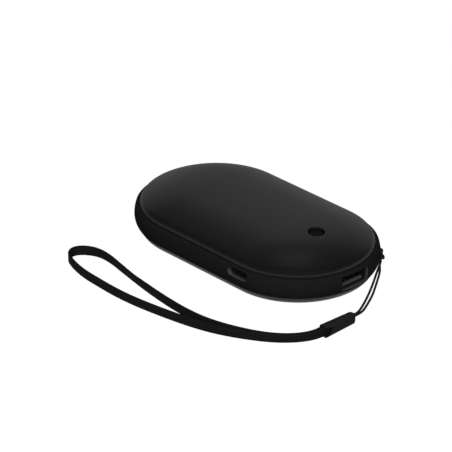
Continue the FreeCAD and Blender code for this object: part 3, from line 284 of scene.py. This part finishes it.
# How far the band falls back from its middle, to its lower edge (-1) and to its upper edge (1).
BAND_FALL = {-1: 1.5 * MM, 1: 0.7 * MM}
BARREL_STEPS = 7
EDGE_STEPS = 6
low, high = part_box("middle_frame")
half = high.y - BAND_BULGE
tall = high.z - low.z
edge_rise = tall / 2 - BAND_EDGE
section = []
for side, fall in BAND_FALL.items():
    barrel = (tall ** 2 / 4 + fall ** 2) / (2 * fall)
    barrel_centre = Vector((high.y - barrel, tall / 2))
    edge_out = math.sqrt((barrel - BAND_EDGE) ** 2 - edge_rise ** 2)
    swing = side * math.atan2(edge_rise, edge_out)
    edge_centre = barrel_centre + Vector((edge_out, side * edge_rise))
    section.reverse()
    section += arc(barrel_centre, barrel, 0, swing, BARREL_STEPS)
    section += arc(edge_centre, BAND_EDGE, swing, side * math.pi / 2, EDGE_STEPS)
section += [Vector((half - FRAME_WALL, tall)), Vector((half - FRAME_WALL, 0)), section[0]]
middle_frame = draw_section("middle_frame_moulding", section, END_AXIS, low.z, 1)
run_round(END_AXIS)

# Spark-eroded ABS: matt black, with a grain of shallow pits that breaks up every highlight.
eroded_abs, tree, shader = new_material("spark_eroded_abs", "#181818", roughness=0.75, specular=0.005)
grain(tree, shader, size=0.35 * MM, depth=0.012 * MM, dull=(0.7, 0.8), detail=4.0)
finish(middle_frame, eroded_abs, "housing", "middle_frame")

# Painted light on the ABS walls of the cut-outs: a grey that stands in for the light falling on them, a pale
# line round each opening.
painted_light_port_walls, tree, shader = new_material("painted_light_port_walls", "#3A3A3A", roughness=0.5)
grain(tree, shader, size=0.8 * MM, depth=0.001 * MM, dull=(0.45, 0.55))

ALONG_X = 0
ALONG_Y = 1
ALONG_SHARE = 0.9
CORNER_SEGMENTS = 4
SLOT_SEGMENTS = 10
SLOT_ROUND = 0.499


def cut_away(piece, cutter):
    """Cut a shape out of a piece, whose new faces get the shape's material, and clear the shape away."""
    bpy.ops.object.select_all(action="DESELECT")
    bpy.context.view_layer.objects.active = piece
    cut = piece.modifiers.new("cut", "BOOLEAN")
    cut.object = cutter
    cut.solver = "EXACT"
    cut.material_mode = "TRANSFER"
    bpy.ops.object.modifier_apply(modifier=cut.name)
    bpy.data.objects.remove(cutter)


def rounded_bar(name, centre, size, along, radius, segments, material):
    """A cutter: a box with the four edges along one axis rounded."""
    bpy.ops.object.select_all(action="DESELECT")
    bpy.ops.mesh.primitive_cube_add(size=1, location=centre, scale=size)
    bar = bpy.context.object
    bar.name = name
    bpy.ops.object.transform_apply(location=True, scale=True)
    bpy.ops.object.mode_set(mode="EDIT")
    bpy.ops.mesh.select_all(action="DESELECT")
    mesh = bmesh.from_edit_mesh(bar.data)
    for edge in mesh.edges:
        run = edge.verts[1].co - edge.verts[0].co
        edge.select_set(abs(run[along]) > ALONG_SHARE * run.length)
    bmesh.update_edit_mesh(bar.data)
    bpy.ops.mesh.bevel(offset=radius, segments=segments, affect="EDGES")
    bpy.ops.object.mode_set(mode="OBJECT")
    bar.data.materials.append(material)
    return bar


PORT_CLEARANCE = 0.15 * MM
OUTPUT_CORNER = 0.7 * MM
OUTPUT_WALL = 0.3 * MM
CHARGE_SIDE = 0.5 * MM
CUT_DEPTH = 8 * MM
# The port cutters leave this painted-light grey on the walls they cut.
low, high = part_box("output_socket_tongue")
centre = (low + high) / 2
centre.x = high.x
margin = OUTPUT_WALL + PORT_CLEARANCE
size = (CUT_DEPTH, high.y - low.y + 2 * margin, high.z - low.z + 2 * margin)
port = rounded_bar("output_cutter", centre, size, ALONG_X, OUTPUT_CORNER, CORNER_SEGMENTS, painted_light_port_walls)
cut_away(middle_frame, port)
low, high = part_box("charge_socket_shell")
centre = (low + high) / 2
centre.y = low.y
tall = high.z - low.z + 2 * PORT_CLEARANCE
size = (high.x - low.x + 2 * CHARGE_SIDE, CUT_DEPTH, tall)
port = rounded_bar("charge_cutter", centre, size, ALONG_Y, SLOT_ROUND * tall, SLOT_SEGMENTS, painted_light_port_walls)
cut_away(middle_frame, port)

LANYARD_ANGLE = math.radians(41.5)
WINDOW_WIDTH = 3.4 * MM
WINDOW_HEIGHT = 2.0 * MM
WINDOW_CORNER = 0.4 * MM
WINDOW_SEGMENTS = 3
BRIDGE = 1.6 * MM
low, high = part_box("middle_frame")
size = (CUT_DEPTH, WINDOW_WIDTH, WINDOW_HEIGHT)
for side in (-1, 1):
    level = (low.z + high.z) / 2 + side * (BRIDGE + WINDOW_HEIGHT) / 2
    window = rounded_bar("window_cutter", (high.y, 0, level), size, ALONG_X, WINDOW_CORNER, WINDOW_SEGMENTS,
                         eroded_abs)
    window.rotation_euler = (0, 0, LANYARD_ANGLE)
    window.location = (END_AXIS, 0, 0)
    cut_away(middle_frame, window)

# Power button
# A round ABS cap with a shallow finger dish. Its flange keeps it in under the dome, and the switch below it
# holds it up.
CAP_LIFT = 0.5 * MM
CAP_DISH = 0.35 * MM
CAP_ROUND = 0.35 * MM
CAP_RIM = 0.6 * MM
FLANGE_LIP = 1.3 * MM
FLANGE_THICKNESS = 0.8 * MM
BUTTON_STEPS = 64
DISH_STEPS = 8
low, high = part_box("power_button")
button_x = (low.x + high.x) / 2
flange = (high.x - low.x) / 2
cap = flange - FLANGE_LIP
dish_edge = cap - CAP_RIM
dish_radius = (dish_edge ** 2 + CAP_DISH ** 2) / (2 * CAP_DISH)
dish_half = math.asin(dish_edge / dish_radius)
top = high.z - low.z + CAP_LIFT
dish_centre = Vector((0, top - CAP_DISH + dish_radius))
section = arc(dish_centre, dish_radius, -math.pi / 2, dish_half - math.pi / 2, DISH_STEPS)
section += arc(Vector((cap - CAP_ROUND, top - CAP_ROUND)), CAP_ROUND, math.pi / 2, 0, EDGE_STEPS)
section += [Vector(p) for p in ((cap, FLANGE_THICKNESS), (flange, FLANGE_THICKNESS), (flange, 0), (0, 0))]
power_button = draw_section("power_button_cap", section, button_x, low.z, 1)
bpy.ops.mesh.spin(steps=BUTTON_STEPS, angle=math.tau, center=(button_x, 0, 0), axis=(0, 0, 1))
close_up()

# Smooth ABS: plain black, as moulded, dull beside the lacquered dome around it.
smooth_abs, tree, shader = new_material("smooth_black_abs", "#101010", roughness=0.6, specular=0.05)
grain(tree, shader, size=0.5 * MM, depth=0.001 * MM, dull=(0.55, 0.65))
finish(power_button, smooth_abs, "button", "power_button")

# Top shell
# The domed upper half of the housing: a flat crown that rolls over through flank and shoulder to the rim,
# moulded in ABS and lacquered, with a rounded hole for the button.
CROWN = 140.0 * MM
TOP_FLANK = 40.0 * MM
TOP_SHOULDER = 3.6 * MM
HOLE_RADIUS = 3.1 * MM
HOLE_ROUND = 0.5 * MM
FLARE_STEPS = 8
FLARE_REACH = 1.01 * HOLE_ROUND
low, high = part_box("top_shell")
half = high.y
top_joint = low.z + SKIRT_DEPTH
rise = high.z - top_joint
crown_centre = Vector((0, rise - CROWN))
shoulder_centre = Vector((half - TOP_SHOULDER, 0))
span = shoulder_centre - crown_centre
along = ((CROWN - TOP_FLANK) ** 2 - (TOP_FLANK - TOP_SHOULDER) ** 2 + span.length ** 2) / (2 * span.length)
aside = math.sqrt((CROWN - TOP_FLANK) ** 2 - along ** 2)
ray = span.normalized()
flank_centre = crown_centre + ray * along + Vector((-ray.y, ray.x)) * aside
meet = math.atan2(flank_centre.y - crown_centre.y, flank_centre.x)
lean = math.atan2(shoulder_centre.y - flank_centre.y, shoulder_centre.x - flank_centre.x)
lap, skirt_in = skirt(half)
inner_flank = TOP_FLANK - SHELL_WALL
inner_end = math.acos((skirt_in - flank_centre.x) / inner_flank)
section = arc(crown_centre, CROWN, math.pi / 2, meet)
section += arc(flank_centre, TOP_FLANK, meet, lean)
section += arc(shoulder_centre, TOP_SHOULDER, lean, 0)
section += lap
section += arc(flank_centre, inner_flank, inner_end, meet)
section += arc(crown_centre, CROWN - SHELL_WALL, meet, math.pi / 2)
top_shell = draw_section("top_shell_moulding", section, END_AXIS, top_joint, 1)
run_round(END_AXIS)
finish(top_shell, satin_abs, "housing", "top_shell")

# The hole's cutter is a trumpet: its flare is the rounded edge, leaned to lie along the slope of the dome.
slope = math.asin((button_x - END_AXIS) / CROWN)
sag = (HOLE_RADIUS + HOLE_ROUND) ** 2 / (2 * CROWN)
surface = crown_centre.y + math.sqrt(CROWN ** 2 - (button_x - END_AXIS) ** 2) - sag
flare_centre = Vector((HOLE_RADIUS + HOLE_ROUND, surface - HOLE_ROUND))
brim = HOLE_RADIUS + 2 * HOLE_ROUND
section = [Vector((0, surface - 2 * SHELL_WALL)), Vector((HOLE_RADIUS, surface - 2 * SHELL_WALL))]
section += arc(flare_centre, HOLE_ROUND, math.pi, math.pi / 2, FLARE_STEPS)
section += [Vector(p) for p in ((brim, surface + HOLE_ROUND / 2), (brim, surface + SHELL_WALL),
                                (0, surface + SHELL_WALL))]
trumpet = draw_section("button_hole_cutter", section, button_x, top_joint, 1)
bpy.ops.mesh.spin(steps=BUTTON_STEPS, angle=math.tau, center=(button_x, 0, 0), axis=(0, 0, 1))
close_up()
bpy.ops.object.mode_set(mode="EDIT")
bpy.ops.mesh.select_all(action="DESELECT")
mesh = bmesh.from_edit_mesh(trumpet.data)
for vertex in mesh.verts:
    vertex.select_set(vertex.co.z > top_joint + surface - FLARE_REACH)
bmesh.update_edit_mesh(trumpet.data)
bpy.ops.transform.rotate(value=-slope, orient_axis="Y", center_override=(button_x, 0, top_joint + surface))
bpy.ops.object.mode_set(mode="OBJECT")
trumpet.data.materials.append(satin_abs)
cut_away(top_shell, trumpet)
bpy.context.view_layer.objects.active = top_shell
top_shell.select_set(True)
bpy.ops.object.shade_smooth_by_angle(angle=SMOOTH_ANGLE)

# Lanyard cord
# A thin braided polyester cord: its middle is hitched round the bridge in the band, and both ends run
# side by side along the table into the sleeve.
CORD_DIAMETER = 0.9 * MM
CORD_LENGTH = 111.0 * MM
CORD_FACETS = 4
CURVE_ORDER = 3
CURVE_STEPS = 12
CORD_OUT = [
    (61.1, -11.3, 2.5), (60.9, -7.6, 2.4), (59.3, -4.2, 1.7), (56.7, 0.1, 1.0), (53.8, 4.8, 0.6),
    (51.2, 9.0, 0.5), (48.7, 13.1, 0.9), (47.0, 16.3, 2.3), (45.7, 19.0, 4.2),
]
HITCH = [
    (-0.5, 31.1, 6.2), (-0.5, 31.9, 9.3), (-0.5, 27.2, 9.3), (-1.0, 27.2, 12.6), (-1.0, 32.2, 12.7),
    (-1.1, 31.6, 10.4), (-1.0, 32.6, 9.4),
]
CORD_BACK = [
    (46.4, 19.9, 4.2), (47.9, 17.1, 2.2), (49.7, 14.0, 0.9), (52.3, 10.1, 0.5), (54.9, 5.8, 0.6),
    (57.7, 1.1, 1.0), (60.3, -3.3, 1.7), (61.6, -7.0, 2.3), (61.9, -11.3, 2.5),
]


def hitch_point(across, out, z):
    """A place on the hitch, from its distance across the bridge and out from the end's axis."""
    turned_x = out * math.cos(LANYARD_ANGLE) - across * math.sin(LANYARD_ANGLE)
    turned_y = out * math.sin(LANYARD_ANGLE) + across * math.cos(LANYARD_ANGLE)
    return END_AXIS / MM + turned_x, turned_y, z


def route_curve(name, route):
    """A smooth open curve with the route's points, in millimetres, as its control points."""
    curve = bpy.data.curves.new(name, "CURVE")
    curve.dimensions = "3D"
    curve.twist_mode = "Z_UP"
    spline = curve.splines.new("NURBS")
    spline.points.add(len(route) - 1)
    for point, place in zip(spline.points, route):
        point.co = (*(Vector(place) * MM), 1)
    spline.order_u = CURVE_ORDER
    spline.use_endpoint_u = True
    spline.resolution_u = CURVE_STEPS
    made = bpy.data.objects.new(name, curve)
    scene.collection.objects.link(made)
    return made


def centre_line(piece):
    """The points that a curve without a bevel passes through."""
    bpy.context.view_layer.update()
    line = bpy.data.meshes.new_from_object(piece.evaluated_get(bpy.context.evaluated_depsgraph_get()))
    points = [vertex.co.copy() for vertex in line.vertices]
    bpy.data.meshes.remove(line)
    return points


def to_mesh(piece):
    """Turn a curve into the mesh that it shows."""
    bpy.ops.object.select_all(action="DESELECT")
    bpy.context.view_layer.objects.active = piece
    piece.select_set(True)
    bpy.ops.object.convert(target="MESH")
    bpy.ops.object.shade_smooth_by_angle(angle=SMOOTH_ANGLE)


def yarns(tree, shader, turns, depth):
    """Lay two sets of yarn across each other on a surface, each by its counts along and round it."""
    places = add_node(tree, "ShaderNodeTexCoord", {})
    rows = []
    for along, round_it in turns:
        counts = add_node(tree, "ShaderNodeMapping", {"Vector": places.outputs["UV"],
                                                      "Scale": (along, round_it, 0)})
        apart = add_node(tree, "ShaderNodeSeparateXYZ", {"Vector": counts.outputs["Vector"]})
        phase = add_node(tree, "ShaderNodeMath", {0: apart.outputs["X"], 1: apart.outputs["Y"]},
                         operation="ADD")
        wave = add_node(tree, "ShaderNodeMath", {0: phase.outputs["Value"], 1: math.tau},
                        operation="MULTIPLY")
        rows.append(add_node(tree, "ShaderNodeMath", {0: wave.outputs["Value"]}, operation="SINE"))
    height = add_node(tree, "ShaderNodeMath", {0: rows[0].outputs["Value"], 1: rows[1].outputs["Value"]},
                      operation="MULTIPLY")
    bump = add_node(tree, "ShaderNodeBump", {"Height": height.outputs["Value"], "Distance": depth})
    tree.links.new(bump.outputs["Normal"], shader.inputs["Normal"])


route = CORD_OUT + [hitch_point(*p) for p in HITCH]
route += [hitch_point(-across, out, z) for across, out, z in reversed(HITCH)] + CORD_BACK
lanyard_cord = route_curve("lanyard_cord_braid", route)
cord_path = centre_line(lanyard_cord)
lanyard_cord.data.bevel_depth = CORD_DIAMETER / 2
lanyard_cord.data.bevel_resolution = CORD_FACETS
lanyard_cord.data.use_fill_caps = True
to_mesh(lanyard_cord)

# Braided polyester: dull black yarns that cross over and under in a tight diagonal.
BRAID_PITCH = 0.8 * MM
BRAID_YARNS = 3
BRAID_DEPTH = 0.012 * MM
braid_turns = CORD_LENGTH / BRAID_PITCH
polyester, tree, shader = new_material("braided_polyester", "#1E1E1E", roughness=0.8, specular=0.03)
yarns(tree, shader, [(braid_turns, BRAID_YARNS), (braid_turns, -BRAID_YARNS)], BRAID_DEPTH)
finish(lanyard_cord, polyester, "housing", "lanyard_cord")

# Lanyard sleeve
# The tapered sleeve that joins cord and strap, moulded in PVC over both and notched at its mouth. A block is
# drawn in at the tip and rounded, then hollowed at the mouth.
SLEEVE_MOUTH = (62.1 * MM, -25.6 * MM)
SLEEVE_TURN = math.radians(92.5)
SLEEVE_SIZE = (15.8 * MM, 4.2 * MM, 5.0 * MM)
SLEEVE_TAPER = 1.3 * MM
SLEEVE_ROUND = 1.4 * MM
SLEEVE_SEGMENTS = 6
MOUTH_ROUND = 0.15 * MM
MOUTH_SEGMENTS = 4
STRAP_HOLE = (5.0 * MM, 2.5 * MM, 3.9 * MM)
HOLE_CORNER = 0.4 * MM
NOTCH_DEPTH = 3.2 * MM
NOTCH_RADIUS = 1.8 * MM
NOTCH_ROUND = 0.999 * NOTCH_RADIUS
length, wide, tall = SLEEVE_SIZE
bpy.ops.object.select_all(action="DESELECT")
bpy.ops.mesh.primitive_cube_add(size=1, location=(length / 2, 0, tall / 2), scale=SLEEVE_SIZE)
sleeve = bpy.context.object
sleeve.name = "lanyard_sleeve"
bpy.ops.object.transform_apply(location=True, scale=True)


def select_sleeve_edges(*wanted):
    """Select the edges of the sleeve's block that have one of the wanted numbers of ends at the tip."""
    bpy.ops.mesh.select_all(action="DESELECT")
    mesh = bmesh.from_edit_mesh(sleeve.data)
    for edge in mesh.edges:
        at_tip = sum(vertex.co.x > MOUTH_ROUND for vertex in edge.verts)
        edge.select_set(at_tip in wanted)
    bmesh.update_edit_mesh(sleeve.data)


bpy.ops.object.mode_set(mode="EDIT")
select_sleeve_edges(2)
bpy.ops.transform.resize(value=(1, 1 - SLEEVE_TAPER / wide, 1 - SLEEVE_TAPER / tall),
                         center_override=(length, 0, tall / 2))
select_sleeve_edges(1, 2)
bpy.ops.mesh.bevel(offset=SLEEVE_ROUND, segments=SLEEVE_SEGMENTS, affect="EDGES")
select_sleeve_edges(0)
bpy.ops.mesh.bevel(offset=MOUTH_ROUND, segments=MOUTH_SEGMENTS, affect="EDGES")
close_up()

# Soft PVC: near-black and dull, with the fine grain of its mould.
soft_pvc, tree, shader = new_material("soft_pvc", "#1E1E1E", roughness=0.7, specular=0.02)
grain(tree, shader, size=0.3 * MM, depth=0.006 * MM, dull=(0.66, 0.74), detail=3.0)
finish(sleeve, soft_pvc, "housing", "lanyard_ferrule")
size = (2 * STRAP_HOLE[0], *STRAP_HOLE[1:])
hole = rounded_bar("strap_hole_cutter", (0, 0, tall / 2), size, ALONG_X, HOLE_CORNER, CORNER_SEGMENTS,
                   soft_pvc)
cut_away(sleeve, hole)
size = (2 * NOTCH_DEPTH, wide, 2 * NOTCH_RADIUS)
notch = rounded_bar("mouth_notch_cutter", (0, -wide / 2, tall / 2), size, ALONG_Y, NOTCH_ROUND, SLOT_SEGMENTS,
                    soft_pvc)
cut_away(sleeve, notch)
bpy.ops.object.select_all(action="DESELECT")
sleeve.select_set(True)
bpy.context.view_layer.objects.active = sleeve
sleeve.rotation_euler = (0, 0, SLEEVE_TURN)
sleeve.location = (*SLEEVE_MOUTH, 0)
bpy.ops.object.transform_apply(location=True, rotation=True)
bpy.ops.object.shade_smooth_by_angle(angle=SMOOTH_ANGLE)

# Wrist strap
# A flat woven nylon strap, folded in half: both legs leave the sleeve side by side, standing on edge, and
# part to make the wrist loop. Both lean a little where they leave the sleeve and where the loop opens.
STRAP_WIDTH = 3.8 * MM
STRAP_THICKNESS = 1.0 * MM
STRAP_LENGTH = 258.0 * MM
STRAP_END_STEPS = 8
STRAP_OUT = [
    (61.2, -21.6, 2.5), (61.25, -26.0, 2.4), (60.9, -28.6, 2.2), (59.4, -31.9, 1.9), (56.7, -36.3, 1.9),
    (52.6, -40.4, 1.9), (47.7, -43.8, 1.9), (41.6, -46.8, 1.9), (34.8, -49.2, 1.9), (27.4, -51.0, 1.9),
    (19.0, -51.7, 1.9), (10.2, -51.4, 1.9), (1.2, -50.5, 1.9), (-7.6, -49.3, 1.9), (-16.4, -47.9, 1.9),
    (-25.6, -45.9, 1.9), (-33.8, -44.1, 1.9), (-40.2, -43.9, 1.9), (-45.3, -46.2, 1.9), (-48.1, -50.2, 1.9),
    (-46.2, -54.4, 1.9),
]
STRAP_BACK = [
    (-40.4, -57.1, 1.9), (-31.6, -59.2, 1.9), (-22.0, -59.8, 1.9), (-12.4, -60.2, 1.9), (-2.8, -59.8, 1.9),
    (6.4, -58.6, 1.9), (15.6, -57.1, 1.9), (24.4, -55.3, 1.9), (32.6, -52.8, 1.9), (40.4, -49.2, 1.9),
    (47.2, -45.5, 1.9), (53.2, -41.4, 1.9), (57.6, -36.9, 1.9), (60.4, -32.4, 1.9), (62.0, -28.8, 2.2),
    (62.3, -26.0, 2.4), (62.25, -21.6, 2.5),
]
# Leans in degrees, each by the number of its point on the route.
STRAP_LEAN = {
    2: -8.0, 3: -14.0, 4: -15.0, 5: -13.0, 6: -7.0, 12: -3.0, 13: -5.0, 14: -14.0, 15: -9.0, 16: -6.0,
    18: 14.0, 19: 8.0, 31: 7.0, 32: 13.0, 33: 15.0, 34: 14.0, 35: 8.0,
}
wrist_strap = route_curve("wrist_strap_webbing", STRAP_OUT + STRAP_BACK)
for place, angle in STRAP_LEAN.items():
    wrist_strap.data.splines[0].points[place].tilt = math.radians(angle)
strap_path = centre_line(wrist_strap)
profile_curve = bpy.data.curves.new("strap_section", "CURVE")
profile = profile_curve.splines.new("POLY")
corner = STRAP_THICKNESS / 2
ends = []
for side in (1, -1):
    turn = math.pi / 2 - side * math.pi / 2
    end_centre = Vector((0, side * (STRAP_WIDTH / 2 - corner)))
    ends += arc(end_centre, corner, turn, turn + math.pi, STRAP_END_STEPS)
profile.points.add(len(ends) - 1)
for point, (x, y) in zip(profile.points, ends):
    point.co = (x, y, 0, 1)
profile.use_cyclic_u = True
strap_section = bpy.data.objects.new("strap_section", profile_curve)
scene.collection.objects.link(strap_section)
wrist_strap.data.bevel_mode = "OBJECT"
wrist_strap.data.bevel_object = strap_section
wrist_strap.data.use_fill_caps = True
to_mesh(wrist_strap)
bpy.data.objects.remove(strap_section)

# Woven nylon: black filament yarn in a plain weave of fine square ribs, dull with a trace of sheen.
WEAVE_PITCH = 0.9 * MM
WEAVE_DEPTH = 0.03 * MM
strap_turns = STRAP_LENGTH / WEAVE_PITCH
girth = 2 * (STRAP_WIDTH - STRAP_THICKNESS) + math.pi * STRAP_THICKNESS
nylon, tree, shader = new_material("woven_nylon", "#151515", roughness=0.75, specular=0.03)
yarns(tree, shader, [(strap_turns, 0), (0, round(girth / WEAVE_PITCH))], WEAVE_DEPTH)
finish(wrist_strap, nylon, "housing", "wrist_strap")

# Sockets
# The two sockets as the solids give them: folded steel shells, moulded tongues and plated contacts, soldered
# to the board behind the openings in the band.


def dress(material, *names):
    """Give solids that are kept as they are a material in place of their flat colour."""
    for name in names:
        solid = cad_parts[name]
        solid.data.materials.clear()
        solid.data.materials.append(material)


# Black nickel: dark, dull plated steel whose edges still catch a bright line.
black_nickel, tree, shader = new_material("black_nickel", "#4A4A4C", roughness=0.3, metallic=0.86)
grain(tree, shader, size=0.5 * MM, depth=0.001 * MM, dull=(0.26, 0.36))
dress(black_nickel, "output_socket_shell", "charge_socket_shell")

# Grey nylon: the output tongue, a dark grey that stands out from the shade of its socket.
grey_nylon, tree, shader = new_material("glass_filled_nylon", "#222222", roughness=0.55)
grain(tree, shader, size=0.4 * MM, depth=0.004 * MM, dull=(0.5, 0.6))
dress(grey_nylon, "output_socket_tongue")

# Black nylon: the charging tongue, lost in the dark of its opening.
black_nylon, tree, shader = new_material("black_nylon", "#080808", roughness=0.6, specular=0.15)
grain(tree, shader, size=0.4 * MM, depth=0.004 * MM, dull=(0.55, 0.65))
dress(black_nylon, "charge_socket_tongue")

# Gold plating on the contacts, painted a darkened, greyed yellow as painted shade, so that it is hardly to be
# told from steel in the socket's shade.
painted_shade_gold, tree, shader = new_material("gold_plating_painted_dark", "#6E6350", roughness=0.35, metallic=1.0)
grain(tree, shader, size=0.3 * MM, depth=0.001 * MM, dull=(0.3, 0.4))
dress(painted_shade_gold, "output_socket_contacts", "charge_socket_contacts")

# Inner parts
# Board, switch, cell, heaters and their leads, shut in by the shells and kept as the solids give them. Each
# gets the look of its own material.

# Solder mask: deep green lacquer over glass cloth, with a faint weave.
solder_mask, tree, shader = new_material("solder_mask_on_glass_cloth", "#14502A", roughness=0.4)
grain(tree, shader, size=0.5 * MM, depth=0.003 * MM, dull=(0.35, 0.45))
dress(solder_mask, "main_board", "battery_protection_board")

# Zinc: bright bluish plating on the board's screws.
bright_zinc, tree, shader = new_material("bright_zinc_plating", "#B9BDC2", roughness=0.3, metallic=1.0)
grain(tree, shader, size=0.3 * MM, depth=0.002 * MM, dull=(0.25, 0.4))
dress(bright_zinc, "board_screws")

# Moulding epoxy: the dull charcoal of chip packages, the inductor and the switch.
moulding_epoxy, tree, shader = new_material("moulding_epoxy", "#26272A", roughness=0.65)
grain(tree, shader, size=0.2 * MM, depth=0.004 * MM, dull=(0.6, 0.7), detail=4.0)
dress(moulding_epoxy, "controller_chip", "boost_inductor", "heater_transistors", "switch_body",
      "switch_plunger")

# Fired ceramic: tan, slightly glossy chip capacitors.
fired_ceramic, tree, shader = new_material("fired_ceramic", "#B08A5E", roughness=0.35)
grain(tree, shader, size=0.15 * MM, depth=0.002 * MM, dull=(0.3, 0.42))
dress(fired_ceramic, "filter_capacitors")

# Clear epoxy: the pale, glossy lens of the status lamp.
clear_epoxy, tree, shader = new_material("clear_epoxy_lens", "#ECECE2", roughness=0.12)
grain(tree, shader, size=0.5 * MM, depth=0.001 * MM, dull=(0.1, 0.15))
dress(clear_epoxy, "status_led")

# Laminated foil: the silvery, slightly crinkled pouch of the cell.
laminated_foil, tree, shader = new_material("laminated_foil", "#C9CBD0", roughness=0.32, metallic=0.9)
grain(tree, shader, size=3.0 * MM, depth=0.05 * MM, dull=(0.26, 0.4), detail=3.0)
dress(laminated_foil, "battery_cell")

# Polyimide: amber heater film with a hard gloss.
polyimide, tree, shader = new_material("polyimide_film", "#B8681C", roughness=0.22)
grain(tree, shader, size=2.0 * MM, depth=0.01 * MM, dull=(0.18, 0.28))
dress(polyimide, "top_heater_film", "bottom_heater_film")

# Foam: dead grey, its closed cells just to be seen.
foam, tree, shader = new_material("closed_cell_foam", "#6E6E70", roughness=0.95, specular=0.1)
grain(tree, shader, size=0.5 * MM, depth=0.08 * MM, dull=(0.9, 1.0), detail=4.0)
dress(foam, "top_insulation", "bottom_insulation")

# Silicone: soft matt sleeves on the leads, red on the positive one and black on the others.
red_silicone, tree, shader = new_material("red_silicone", "#B02222", roughness=0.55)
grain(tree, shader, size=0.4 * MM, depth=0.004 * MM, dull=(0.5, 0.6))
dress(red_silicone, "battery_lead_red")
black_silicone, tree, shader = new_material("black_silicone", "#1A1A1A", roughness=0.55)
grain(tree, shader, size=0.4 * MM, depth=0.004 * MM, dull=(0.5, 0.6))
dress(black_silicone, "battery_lead_black", "top_heater_leads", "bottom_heater_leads")

# Dipped epoxy: the glossy black bead of the temperature sensor.
dipped_epoxy, tree, shader = new_material("dipped_epoxy", "#18191C", roughness=0.2)
grain(tree, shader, size=0.6 * MM, depth=0.006 * MM, dull=(0.15, 0.25))
dress(dipped_epoxy, "thermistor")
